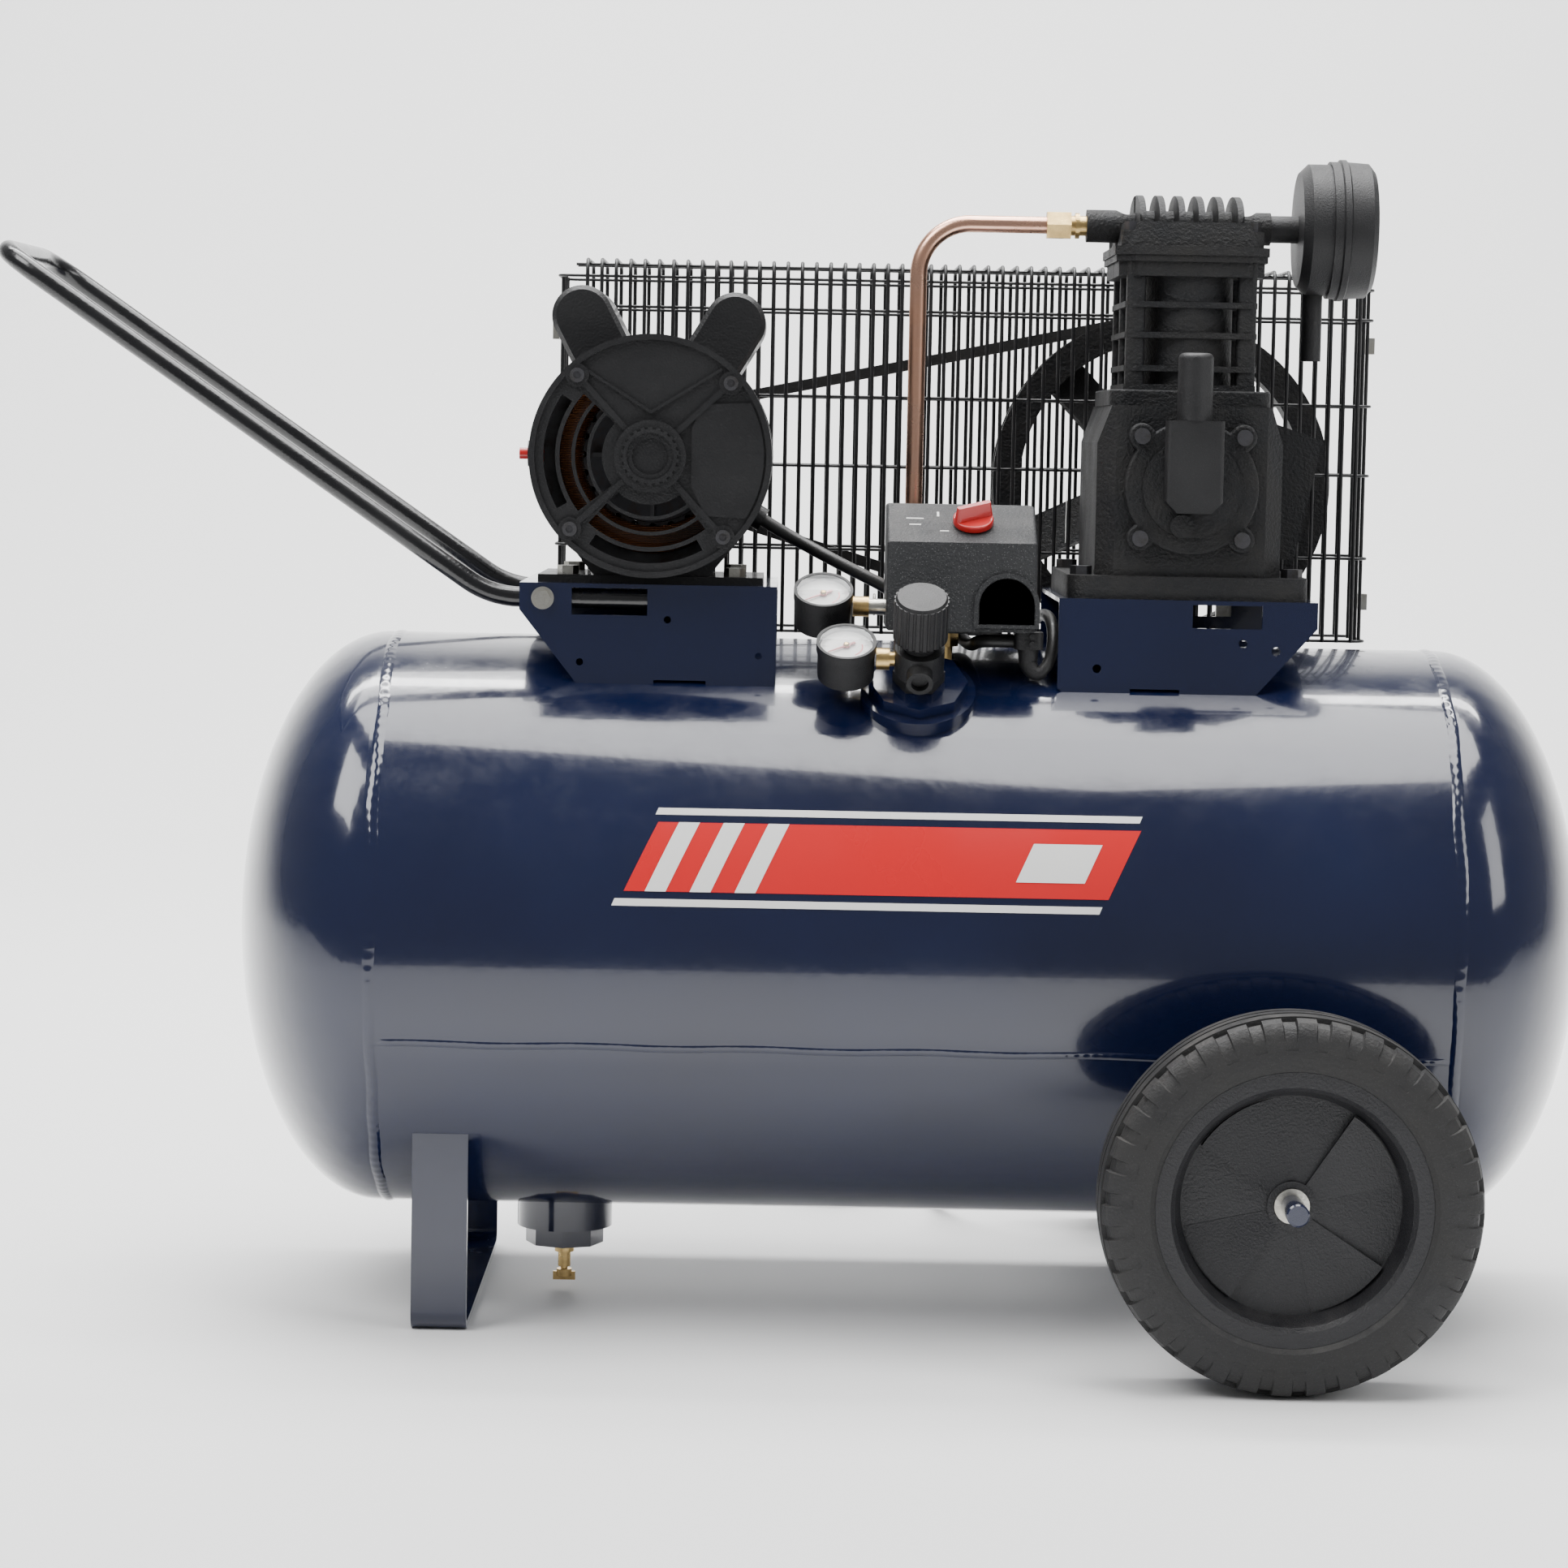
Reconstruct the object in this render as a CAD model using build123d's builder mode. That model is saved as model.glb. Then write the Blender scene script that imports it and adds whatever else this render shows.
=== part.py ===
from build123d import *
from math import cos, hypot, radians, sin, sqrt
import os

os.makedirs("parts", exist_ok=True)

# A portable belt-drive air compressor: a steel tank lying on two wheels and a strap foot, with the
# motor and the twin-cylinder pump bolted to sheet saddles on top. X runs along the tank, with the
# handle at -X. Y runs through the depth, with the belt at +Y. Z is up, and the floor is Z = 0.

# ---- Tank ----
tank_radius = 203
tank_length = 946
tank_wall = 3
shell_length = 730
skirt_depth = 20
tank_axis_z = 268.5
handle_reach = 640  # tank centre to the far side of the grip
tank_x = (handle_reach - tank_length / 2) / 2  # centres the whole object on X = 0

# ---- Fits ----
running_gap = 0.06  # radial, shaft in hole
face_gap = 0.5  # between a turning face and a fixed one
belt_gap = 0.5
skirt_gap = 0.1

# ---- Foot and wheels ----
foot_x = tank_x - 319.6
foot_width = 38
foot_span = 309
strap = 5
wheel_x = tank_x + 244.2
wheel_radius = 125
wheel_width = 70
wheel_mid_y = 285.7
rim_radius = 90
dish_radius = 77
axle_radius = 7.5
axle_end_y = 335
hub_radius = 16
hub_face = 14  # outwards from the wheel's middle
nut_thickness = 2
axle_collar = 11
bracket_y = 232
bracket_half = 30
bracket_wall = 4

# ---- Saddles ----
saddle_depth = 206
sheet = 3
motor_saddle_left = tank_x - 274
motor_saddle_right = tank_x - 97
motor_saddle_top = 512
pump_saddle_left = tank_x + 97
pump_saddle_right = tank_x + 275
pump_saddle_top = 508

# ---- Handle ----
handle_tube = 7  # radius
handle_wall = 1.5
handle_rise = 232
elbow_radius = 65
grip_radius = 32
bolt_radius = 4

# ---- Motor ----
motor_x = tank_x - 185
motor_z = 600
motor_radius = 83
motor_wall = 3
motor_front_y = -121
bell_depth = 50
shell_back_y = 42
motor_back_y = 86
shaft_radius = 8
bearing_radius = 17.5
bearing_width = 12
air_gap = 0.5
stack_front_y = -45
stack_back_y = 15
rotor_radius = 46
hub_front_y = -125

# ---- Pump ----
pump_x = tank_x + 186
pump_z = 585
pump_y = -5
cylinder_spacing = 66
bore_radius = 24
throw = 20
case_half = 64
case_front_y = -95
case_back_y = 90
case_wall = 11
case_top = 641
flange_height = 16
flange_half = 83
block_base = 652
deck_z = 740.5
block_half = 46
block_depth = 130
head_half = 53.5
head_base = 745
head_top = 768
crank_radius = 12.5
web_radius = 38
web_width = 9
pin_radius = 11
big_end_width = 16
wrist_radius = 6
piston_height = 38
crown_to_pin = 22
crown_gap = 0.8
crank_bearing_radius = 26
crank_bearing_width = 14

motor_bolt_dx = 58
motor_bolt_y = (-60, 26)
case_bolt_dx = 73
case_bolt_y = (-78, 70)

# ---- Belt drive ----
belt_y = 150
flywheel_radius = 125
flywheel_width = 30
rim_thickness = 20
spoke_count = 5
pulley_radius = 33.5
pulley_width = 22
belt_width = 11
belt_thickness = 8

# ---- Guard ----
guard_left = tank_x - 261.7
guard_right = tank_x + 336.9
guard_front_y = 108
guard_back_y = 200
guard_top = 742
guard_bottom = 471
wire = 1.4  # radius of the upright wires
cross_wire = 1.1
wire_pitch = 10.5
crossings = (472, 533, 594, 645, 708, 730)

# ---- Air end: port, regulator, gauges and switch ----
port_x = tank_x + 1
port_tilt = 33
port_radius = 39.5
reg_radius = 17
reg_knob_radius = 18.7
gauge_radius = 20.5
gauge_depth = 28
stem_height = 31.7  # gauge stem above the tank, along the port's axis
tank_gauge_x = tank_x - 65
tank_gauge_y = -95
tank_gauge_z = 510.8
line_gauge_x = tank_x - 49
line_gauge_y = -135
line_gauge_z = 477.3
switch_left = tank_x - 22
switch_right = tank_x + 81
switch_base_z = 484
switch_wall = 2.5
tube_radius = 6
tube_wall = 1
tube_x = tank_x - 1.5
tube_bend = 36
lead_radius = 4.5
cord_radius = 4.25

# ---- Places worked out from the sizes above ----
tank_end_left = tank_x - tank_length / 2
tank_end_right = tank_x + tank_length / 2
tank_bottom = tank_axis_z - tank_radius
tank_top = tank_axis_z + tank_radius
head_depth = (tank_length - shell_length) / 2
wheel_z = wheel_radius
tilt_sin = sin(radians(port_tilt))
tilt_cos = cos(radians(port_tilt))
port_plane = Plane(
    origin=(port_x, -tank_radius * tilt_sin, tank_axis_z + tank_radius * tilt_cos),
    x_dir=(1, 0, 0),
    z_dir=(0, -tilt_sin, tilt_cos),
)
guard_mid_y = (guard_front_y + guard_back_y) / 2
cylinder_y = {"front": pump_y - cylinder_spacing / 2, "rear": pump_y + cylinder_spacing / 2}
rod_length = deck_z - crown_gap - crown_to_pin - throw - pump_z


def finish_piece(piece, name):
    piece.part.label = name
    export_step(piece.part, f"parts/{name}.step")


def rod_x(y, z, left, right, radius, mode=Mode.ADD):
    with Locations(((left + right) / 2, y, z)):
        Cylinder(radius, right - left, rotation=(0, 90, 0), mode=mode)


def rod_y(x, z, front, back, radius, mode=Mode.ADD):
    with Locations((x, (front + back) / 2, z)):
        Cylinder(radius, back - front, rotation=(90, 0, 0), mode=mode)


def rod_z(x, y, low, high, radius, mode=Mode.ADD):
    with Locations((x, y, (low + high) / 2)):
        Cylinder(radius, high - low, mode=mode)


def block(left, right, front, back, low, high, mode=Mode.ADD):
    with Locations(((left + right) / 2, (front + back) / 2, (low + high) / 2)):
        Box(right - left, back - front, high - low, mode=mode)


def front_plane(y):
    # A sketch plane facing the front, whose own x and y are the model's X and Z.
    return Plane(origin=(0, y, 0), x_dir=(1, 0, 0), z_dir=(0, -1, 0))


def turning_plane(x, y, z, side=1):
    # Half-sections of pieces that turn about Y: own x runs along Y towards side, own y is radial.
    return Plane(origin=(x, y, z), x_dir=(0, side, 0), z_dir=(side, 0, 0))


def lengthways_plane(x, y, z, side=1):
    # Half-sections of pieces round an X axis: own x runs along X towards side, own y is radial.
    return Plane(origin=(x, y, z), x_dir=(side, 0, 0), z_dir=(0, -side, 0))


def cut_tank():
    rod_x(0, tank_axis_z, tank_end_left, tank_end_right, tank_radius, Mode.SUBTRACT)


# ---- Tank shell, with the welded ports ----
drain_x = tank_x - 241.7
drain_radius = 34
drain_collar_z = 47
drain_hex_z = 34
drain_bore = 6
port_bore = 14
port_step = 6
port_top = 14
valve_bore = 8
shell_left = tank_x - shell_length / 2
shell_right = tank_x + shell_length / 2

with BuildPart() as tank_shell:
    rod_x(0, tank_axis_z, shell_left, shell_right, tank_radius)
    with BuildSketch(port_plane.offset(-tank_wall - 2)):
        Circle(port_radius)
    extrude(amount=port_step + tank_wall + 2)
    with BuildSketch(port_plane.offset(port_step)):
        RegularPolygon(port_radius * 0.86, 8)
    extrude(amount=port_top - port_step)
    rod_z(drain_x, 0, drain_collar_z, tank_bottom + tank_wall, drain_radius)
    with BuildSketch(Plane.XY.offset(drain_hex_z)):
        with Locations((drain_x, 0)):
            RegularPolygon(drain_radius * 0.82, 8)
    extrude(amount=drain_collar_z - drain_hex_z)
    rod_x(0, tank_axis_z, shell_left, shell_right, tank_radius - tank_wall, Mode.SUBTRACT)
    with BuildSketch(port_plane.offset(-2 * tank_wall)):
        Circle(port_bore)
    extrude(amount=port_top + 2 * tank_wall + 1, mode=Mode.SUBTRACT)
    rod_z(drain_x, 0, drain_hex_z - 1, tank_bottom + 2 * tank_wall, drain_bore, Mode.SUBTRACT)
    rod_z(tube_x, 0, tank_top - 2 * tank_wall, tank_top + 1, valve_bore, Mode.SUBTRACT)
finish_piece(tank_shell, "tank_shell")

# ---- Tank heads: flanged domes whose skirts slip inside the shell ----
skirt_radius = tank_radius - tank_wall - skirt_gap
dome_inside = skirt_radius - tank_wall
flange_straight = 6.5
dome_depth = head_depth - flange_straight
with BuildPart() as tank_heads:
    for seam_x, side in ((shell_right, 1), (shell_left, -1)):
        with BuildSketch(lengthways_plane(seam_x + side * flange_straight, 0, tank_axis_z, side)):
            with BuildLine():
                outer = EllipticalCenterArc((0, 0), dome_depth, tank_radius, arc_size=90)
                inner = EllipticalCenterArc((0, 0), dome_depth - tank_wall, dome_inside, arc_size=90)
                Polyline(
                    outer @ 1,
                    (-flange_straight, tank_radius),
                    (-flange_straight, skirt_radius),
                    (-flange_straight - skirt_depth, skirt_radius),
                    (-flange_straight - skirt_depth, dome_inside),
                    inner @ 1,
                )
                Line(inner @ 0, outer @ 0)
            make_face()
        revolve(axis=Axis((0, 0, tank_axis_z), (1, 0, 0)))
finish_piece(tank_heads, "tank_heads")

# ---- Foot: one strap bent to a U and welded under the tank ----
foot_height = tank_axis_z - sqrt(tank_radius**2 - (foot_span / 2) ** 2) + 2 * strap
foot_middle = foot_span / 2 - strap / 2
with BuildPart() as foot:
    with BuildLine() as strap_line:
        FilletPolyline(
            (foot_x, -foot_middle, foot_height),
            (foot_x, -foot_middle, strap / 2),
            (foot_x, foot_middle, strap / 2),
            (foot_x, foot_middle, foot_height),
            radius=2 * strap,
        )
    with BuildSketch(Plane(origin=strap_line.line @ 0, x_dir=(1, 0, 0), z_dir=strap_line.line % 0)):
        Rectangle(foot_width, strap)
    sweep()
    cut_tank()
finish_piece(foot, "foot")

# ---- Wheel brackets, each a welded channel with its stub axle ----
with BuildPart() as axle_brackets:
    for side in (-1, 1):
        back_to_front = sorted((0, side * bracket_y))
        block(
            wheel_x - bracket_half,
            wheel_x + bracket_half,
            *back_to_front,
            wheel_z - axle_collar - 2,
            wheel_z + bracket_half,
        )
        hollow = sorted((0, side * (bracket_y - bracket_wall)))
        block(
            wheel_x - bracket_half + bracket_wall,
            wheel_x + bracket_half - bracket_wall,
            *hollow,
            wheel_z - bracket_half,
            wheel_z + bracket_half - bracket_wall,
            Mode.SUBTRACT,
        )
    for side in (-1, 1):
        collar = sorted((0, side * (wheel_mid_y - wheel_width / 2 + 1)))
        rod_y(wheel_x, wheel_z, *collar, axle_collar)
        stub = sorted((0, side * axle_end_y))
        rod_y(wheel_x, wheel_z, *stub, axle_radius)
    rod_x(0, tank_axis_z, tank_end_left, tank_end_right, tank_radius, Mode.SUBTRACT)
    chamfer(axle_brackets.faces().sort_by(Axis.Y)[0].edges(), 1)
    chamfer(axle_brackets.faces().sort_by(Axis.Y)[-1].edges(), 1)
finish_piece(axle_brackets, "axle_brackets")

# ---- Wheels: a dished plastic rim with raised wedges, and a solid tyre ----
dish_thickness = 4
wedge_count = 4
wedge_start = 12
wedge_edge = 0.4  # a wedge's low side above the dish
wedge_height = 5
hub_back = wheel_mid_y - (wheel_mid_y - wheel_width / 2 + 1) - face_gap
half_width = wheel_width / 2
for end, side in (("front", -1), ("rear", 1)):
    middle = turning_plane(wheel_x, side * wheel_mid_y, wheel_z, side)
    wheel_axis = Axis((wheel_x, 0, wheel_z), (0, 1, 0))
    with BuildPart() as rim:
        with BuildSketch(middle):
            with BuildLine():
                Polyline(
                    (-hub_back, axle_radius + running_gap),
                    (hub_face, axle_radius + running_gap),
                    (hub_face, hub_radius),
                    (hub_face - 2, hub_radius),
                    (hub_face - 2, dish_radius - 5),
                    (half_width - 7, dish_radius),
                    (half_width - 3, dish_radius + 3),
                    (half_width - 3, rim_radius),
                    (3 - half_width, rim_radius),
                    (3 - half_width, rim_radius - 6),
                    (hub_face - 2 - dish_thickness, dish_radius - 2),
                    (hub_face - 2 - dish_thickness, hub_radius),
                    (-hub_back, hub_radius),
                    close=True,
                )
            make_face()
        revolve(axis=wheel_axis)
        face_y = side * (wheel_mid_y + hub_face - 2)
        dish_face = Plane(origin=(wheel_x, face_y, wheel_z), x_dir=(1, 0, 0), z_dir=(0, side, 0))
        for turn in range(wedge_count):
            low = wedge_start + 360 / wedge_count * turn
            along = dish_face.x_dir * cos(radians(low)) + dish_face.y_dir * sin(radians(low))
            across = dish_face.z_dir.cross(along)
            with BuildPart() as wedge:
                with BuildSketch(dish_face):
                    with BuildLine():
                        inner_arc = CenterArc((0, 0), hub_radius - 1, low, 180 / wedge_count)
                        outer_arc = CenterArc((0, 0), dish_radius - 6, low, 180 / wedge_count)
                        Line(inner_arc @ 0, outer_arc @ 0)
                        Line(inner_arc @ 1, outer_arc @ 1)
                    make_face()
                extrude(amount=2 * wedge_height)
                slope = Plane(
                    origin=dish_face.origin + dish_face.z_dir * wedge_edge,
                    x_dir=along,
                    z_dir=dish_face.z_dir - across * (wedge_height / (dish_radius * 0.7)),
                )
                split(bisect_by=slope, keep=Keep.BOTTOM)
            add(wedge.part)
    finish_piece(rim, f"wheel_{end}")
    with BuildPart() as tyre:
        with BuildSketch(middle):
            with BuildLine():
                shoulder = wheel_radius - 12
                wall = ThreePointArc(
                    (half_width - 3, rim_radius), (half_width, rim_radius + 11), (
                        half_width - 1.5, shoulder
                    )
                )
                corner = ThreePointArc(
                    wall @ 1, (half_width - 5, wheel_radius - 4), (half_width - 13, wheel_radius - 1)
                )
                ThreePointArc(corner @ 1, (0, wheel_radius), (13 - half_width, wheel_radius - 1))
                mirror(about=Plane.YZ, mode=Mode.ADD, objects=[wall, corner])
                Line((3 - half_width, rim_radius), (half_width - 3, rim_radius))
            make_face()
        revolve(axis=wheel_axis)
    finish_piece(tyre, f"tyre_{end}")

# ---- Saddles: bent sheet channels, open at both ends, welded to the tank ----
def saddle_shell(outline, top):
    half = saddle_depth / 2
    with BuildSketch(front_plane(half)) as side_view:
        Polygon(*outline, align=None)
    extrude(side_view.sketch, amount=saddle_depth)
    block(-tank_length, tank_length, sheet - half, half - sheet, 0, top - sheet, Mode.SUBTRACT)
    cut_tank()


def base_bolt_holes(middle_x, bolt_dx, bolt_ys, top):
    for dx in (-bolt_dx, bolt_dx):
        for bolt_y in bolt_ys:
            rod_z(middle_x + dx, bolt_y, top - sheet - 1, top + 1, bolt_radius + 0.1, Mode.SUBTRACT)


plate_foot_z = tank_axis_z + sqrt(tank_radius**2 - (saddle_depth / 2) ** 2) - 3
handle_z = motor_saddle_top - sheet - handle_tube - face_gap
handle_bolt_x = motor_saddle_left + 16
foot_notch = 3
with BuildPart() as motor_saddle:
    saddle_shell(
        [
            (motor_saddle_left, motor_saddle_top),
            (motor_saddle_right, motor_saddle_top),
            (motor_saddle_right, plate_foot_z),
            (motor_saddle_left + 42, plate_foot_z),
            (motor_saddle_left, handle_z - 8),
        ],
        motor_saddle_top,
    )
    block(
        motor_saddle_left + 36,
        motor_saddle_left + 88,
        -saddle_depth,
        saddle_depth,
        handle_z - 11,
        motor_saddle_top - sheet,
        Mode.SUBTRACT,
    )
    block(
        motor_saddle_left + 93,
        motor_saddle_left + 129,
        -saddle_depth,
        saddle_depth,
        plate_foot_z,
        plate_foot_z + 3 + foot_notch,
        Mode.SUBTRACT,
    )
    rod_y(handle_bolt_x, handle_z, -saddle_depth, saddle_depth, bolt_radius + 0.1, Mode.SUBTRACT)
    base_bolt_holes(motor_x, motor_bolt_dx, motor_bolt_y, motor_saddle_top)
    for hole_dx, hole_z in ((102, 488), (165, 464), (42, 458)):
        rod_y(motor_saddle_left + hole_dx, hole_z, -saddle_depth, saddle_depth, 2.5, Mode.SUBTRACT)
finish_piece(motor_saddle, "motor_saddle")

with BuildPart() as pump_saddle:
    saddle_shell(
        [
            (pump_saddle_left, pump_saddle_top),
            (pump_saddle_right, pump_saddle_top),
            (pump_saddle_right, pump_saddle_top - 18),
            (pump_saddle_right - 44, plate_foot_z),
            (pump_saddle_left + 6, plate_foot_z),
            (pump_saddle_left, plate_foot_z + 6),
        ],
        pump_saddle_top,
    )
    block(
        pump_saddle_left + 92,
        pump_saddle_left + 140,
        -saddle_depth,
        saddle_depth,
        pump_saddle_top - 19,
        pump_saddle_top - sheet,
        Mode.SUBTRACT,
    )
    block(
        pump_saddle_left + 50,
        pump_saddle_left + 84,
        -saddle_depth,
        saddle_depth,
        plate_foot_z,
        plate_foot_z + 3 + foot_notch,
        Mode.SUBTRACT,
    )
    base_bolt_holes(pump_x, case_bolt_dx, case_bolt_y, pump_saddle_top)
    for hole_dx, hole_z in ((150, 474), (127, 479), (27, 460)):
        rod_y(pump_saddle_left + hole_dx, hole_z, -saddle_depth, saddle_depth, 3, Mode.SUBTRACT)
finish_piece(pump_saddle, "pump_saddle")

# ---- Handle: one tube bent to a U, its ends bolted inside the motor saddle ----
arm_y = saddle_depth / 2 - sheet - handle_tube - skirt_gap
grip_x = tank_x - handle_reach + handle_tube
grip_z = handle_z + handle_rise
elbow_x = motor_saddle_left - 20
with BuildPart() as handle:
    with BuildLine() as bend_line:
        FilletPolyline(
            (motor_saddle_left + 90, -arm_y, handle_z),
            (elbow_x, -arm_y, handle_z),
            (grip_x, -arm_y, grip_z),
            (grip_x, arm_y, grip_z),
            (elbow_x, arm_y, handle_z),
            (motor_saddle_left + 90, arm_y, handle_z),
            radius=[elbow_radius, grip_radius, grip_radius, elbow_radius],
        )
    with BuildSketch(Plane(origin=bend_line.line @ 0, z_dir=bend_line.line % 0)):
        Circle(handle_tube)
        Circle(handle_tube - handle_wall, mode=Mode.SUBTRACT)
    sweep()
    rod_y(handle_bolt_x, handle_z, -saddle_depth, saddle_depth, bolt_radius + 0.1, Mode.SUBTRACT)
finish_piece(handle, "handle")

# ---- Motor shell on its cradle ----
button_y = -58
button_radius = 4
button_boss = motor_x - motor_radius - 4
motor_inside = motor_radius - 1 - motor_wall
lead_gland_angle = -30
foot_front_y = -78
foot_back_y = 44
cradle_half = 78
cradle_plate = 5
bell_back_y = motor_front_y + bell_depth
with BuildPart() as motor_shell:
    block(
        motor_x - cradle_half,
        motor_x + cradle_half,
        foot_front_y,
        foot_back_y,
        motor_saddle_top,
        motor_saddle_top + cradle_plate,
    )
    for y_front in (foot_front_y + 10, foot_back_y - 22):
        with BuildSketch(front_plane(y_front + 12)):
            with BuildLine():
                Polyline(
                    (motor_x - 40, motor_saddle_top + cradle_plate),
                    (motor_x + 40, motor_saddle_top + cradle_plate),
                    (motor_x + 62, motor_z - 56),
                    (motor_x - 62, motor_z - 56),
                    close=True,
                )
            make_face()
        extrude(amount=12)
    rod_y(motor_x, motor_z, bell_back_y, shell_back_y, motor_radius - 1)
    rod_y(motor_x, motor_z, foot_front_y - 1, foot_back_y + 1, motor_radius - 1 - motor_wall, Mode.SUBTRACT)
    rod_y(motor_x, motor_z, bell_back_y, shell_back_y, motor_radius - 1 - motor_wall, Mode.SUBTRACT)
    rod_x(button_y, motor_z, button_boss, motor_x - motor_inside + 1, button_radius + 5)
    rod_x(
        button_y,
        motor_z,
        button_boss - 1,
        motor_x - motor_inside + 2,
        button_radius + running_gap,
        Mode.SUBTRACT,
    )
    gland_plane = Plane(
        origin=(motor_x, 0, motor_z),
        x_dir=(0, 1, 0),
        z_dir=(cos(radians(lead_gland_angle)), 0, sin(radians(lead_gland_angle))),
    )
    with BuildSketch(gland_plane.offset(motor_inside + 1)):
        Circle(lead_radius + 4)
    extrude(amount=motor_radius + 6 - motor_inside - 1)
    for dx in (-motor_bolt_dx, motor_bolt_dx):
        for bolt_y in motor_bolt_y:
            rod_z(
                motor_x + dx,
                bolt_y,
                motor_saddle_top,
                motor_saddle_top + 20,
                bolt_radius + 0.1,
                Mode.SUBTRACT,
            )
finish_piece(motor_shell, "motor_shell")

# ---- Motor end bells ----
rim_lip = 4
hub_ring = 20
vent_half = 4
bell_wall = 4
hub_bore = shaft_radius + 1
shaft_front_y = -104
front_bearing_y = -114
rear_bearing_y = 68
through_bolt_circle = 74
through_bolt_angle = 43
bearing_seat = bearing_radius + 4
with BuildPart() as motor_front_bell:
    rod_y(motor_x, motor_z, motor_front_y, bell_back_y, motor_radius)
    rod_y(motor_x, motor_z, motor_front_y + 3 + bell_wall, bell_back_y + 1, motor_radius - 5, Mode.SUBTRACT)
    rod_y(motor_x, motor_z, motor_front_y - 1, motor_front_y + 3, motor_radius - rim_lip, Mode.SUBTRACT)
    rod_y(motor_x, motor_z, hub_front_y, front_bearing_y + bearing_width + 2, bearing_seat + 3)
    for turn in range(4):
        angle = through_bolt_angle + 90 * turn
        reach = radians(angle)
        rib_plane = Plane(
            origin=(motor_x, motor_front_y + 3, motor_z),
            x_dir=(cos(reach), 0, sin(reach)),
            z_dir=(0, -1, 0),
        )
        with BuildSketch(rib_plane):
            with Locations(((through_bolt_circle + bearing_seat) / 2, 0)):
                Rectangle(through_bolt_circle - bearing_seat, 4)
            with Locations((through_bolt_circle, 0)):
                Circle(8)
        extrude(amount=3)
    with BuildSketch(front_plane(motor_front_y + 3)):
        with Locations((motor_x, motor_z)):
            Circle(motor_radius - rim_lip - 1.5)
        with BuildLine():
            Polyline(
                (motor_x + 28, motor_z + 20),
                (motor_x + 36, motor_z + 36),
                (motor_x + motor_radius, motor_z + 38),
                (motor_x + motor_radius, motor_z - 42),
                (motor_x + 38, motor_z - 40),
                (motor_x + 28, motor_z - 20),
                close=True,
            )
        make_face(mode=Mode.INTERSECT)
    extrude(amount=2)
    with BuildSketch(front_plane(motor_front_y + 3)):
        with BuildLine():
            Polyline((motor_x - 48, motor_z + 60), (motor_x, motor_z + 30), (motor_x + 48, motor_z + 60))
        trace(line_width=2)
    extrude(amount=2)
    with BuildSketch(front_plane(hub_front_y)):
        with Locations((motor_x, motor_z)):
            Circle(hub_ring)
            Circle(hub_ring - 4, mode=Mode.SUBTRACT)
            with PolarLocations(hub_ring, 22):
                Rectangle(3, 2.4, mode=Mode.SUBTRACT)
    extrude(amount=2)
    for vent_start in (138, 228):
        for vent_radius, margin in ((37, 0), (47.5, 0), (58, 0), (69, 8)):
            low_angle = vent_start + margin
            vent_turn = 80 - 2 * margin
            with BuildSketch(front_plane(motor_front_y + 3 + bell_wall + 1)):
                with BuildLine():
                    near = CenterArc((motor_x, motor_z), vent_radius - vent_half, low_angle, vent_turn)
                    far = CenterArc((motor_x, motor_z), vent_radius + vent_half, low_angle, vent_turn)
                    Line(near @ 0, far @ 0)
                    Line(near @ 1, far @ 1)
                make_face()
            extrude(amount=bell_wall + 2, mode=Mode.SUBTRACT)
    rod_y(motor_x, motor_z, front_bearing_y, bell_back_y, bearing_radius, Mode.SUBTRACT)
    rod_y(motor_x, motor_z, hub_front_y - 1, hub_front_y + 3, bearing_radius - 5, Mode.SUBTRACT)
    with BuildSketch(front_plane(bell_back_y)):
        with Locations((motor_x, motor_z)):
            with PolarLocations(through_bolt_circle, 4, start_angle=through_bolt_angle):
                Circle(2.6)
    extrude(amount=bell_depth + 1, mode=Mode.SUBTRACT)
finish_piece(motor_front_bell, "motor_front_bell")

with BuildPart() as motor_rear_bell:
    rod_y(motor_x, motor_z, shell_back_y, motor_back_y, motor_radius)
    chamfer(motor_rear_bell.edges().filter_by(GeomType.CIRCLE).sort_by(Axis.Y)[-1], 8)
    rod_y(motor_x, motor_z, shell_back_y - 1, motor_back_y - 6, motor_radius - 9, Mode.SUBTRACT)
    rod_y(motor_x, motor_z, rear_bearing_y - 2, motor_back_y, bearing_seat)
    rod_y(
        motor_x, motor_z, rear_bearing_y - 3, rear_bearing_y + bearing_width, bearing_radius, Mode.SUBTRACT
    )
    rod_y(motor_x, motor_z, rear_bearing_y, motor_back_y + 1, hub_bore, Mode.SUBTRACT)
    with BuildSketch(front_plane(motor_back_y + 1)):
        with Locations((motor_x, motor_z)):
            with PolarLocations(48, 10):
                SlotCenterToCenter(22, 7, rotation=0)
    extrude(amount=8, mode=Mode.SUBTRACT)
    with BuildSketch(front_plane(motor_back_y + 1)):
        with Locations((motor_x, motor_z)):
            with PolarLocations(through_bolt_circle, 4, start_angle=through_bolt_angle):
                Circle(2.6)
    extrude(amount=motor_back_y - shell_back_y + 2, mode=Mode.SUBTRACT)
finish_piece(motor_rear_bell, "motor_rear_bell")

with BuildPart() as motor_bolts:
    for turn in range(4):
        angle = radians(through_bolt_angle + 90 * turn)
        bolt_x = motor_x + through_bolt_circle * cos(angle)
        bolt_z = motor_z + through_bolt_circle * sin(angle)
        rod_y(bolt_x, bolt_z, motor_front_y, motor_back_y - 8, 2.5)
        rod_y(bolt_x, bolt_z, motor_front_y - 3, motor_front_y, 5)
        rod_y(bolt_x, bolt_z, motor_front_y - 4, motor_front_y - 1.5, 2.6, Mode.SUBTRACT)
finish_piece(motor_bolts, "motor_bolts")

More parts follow.
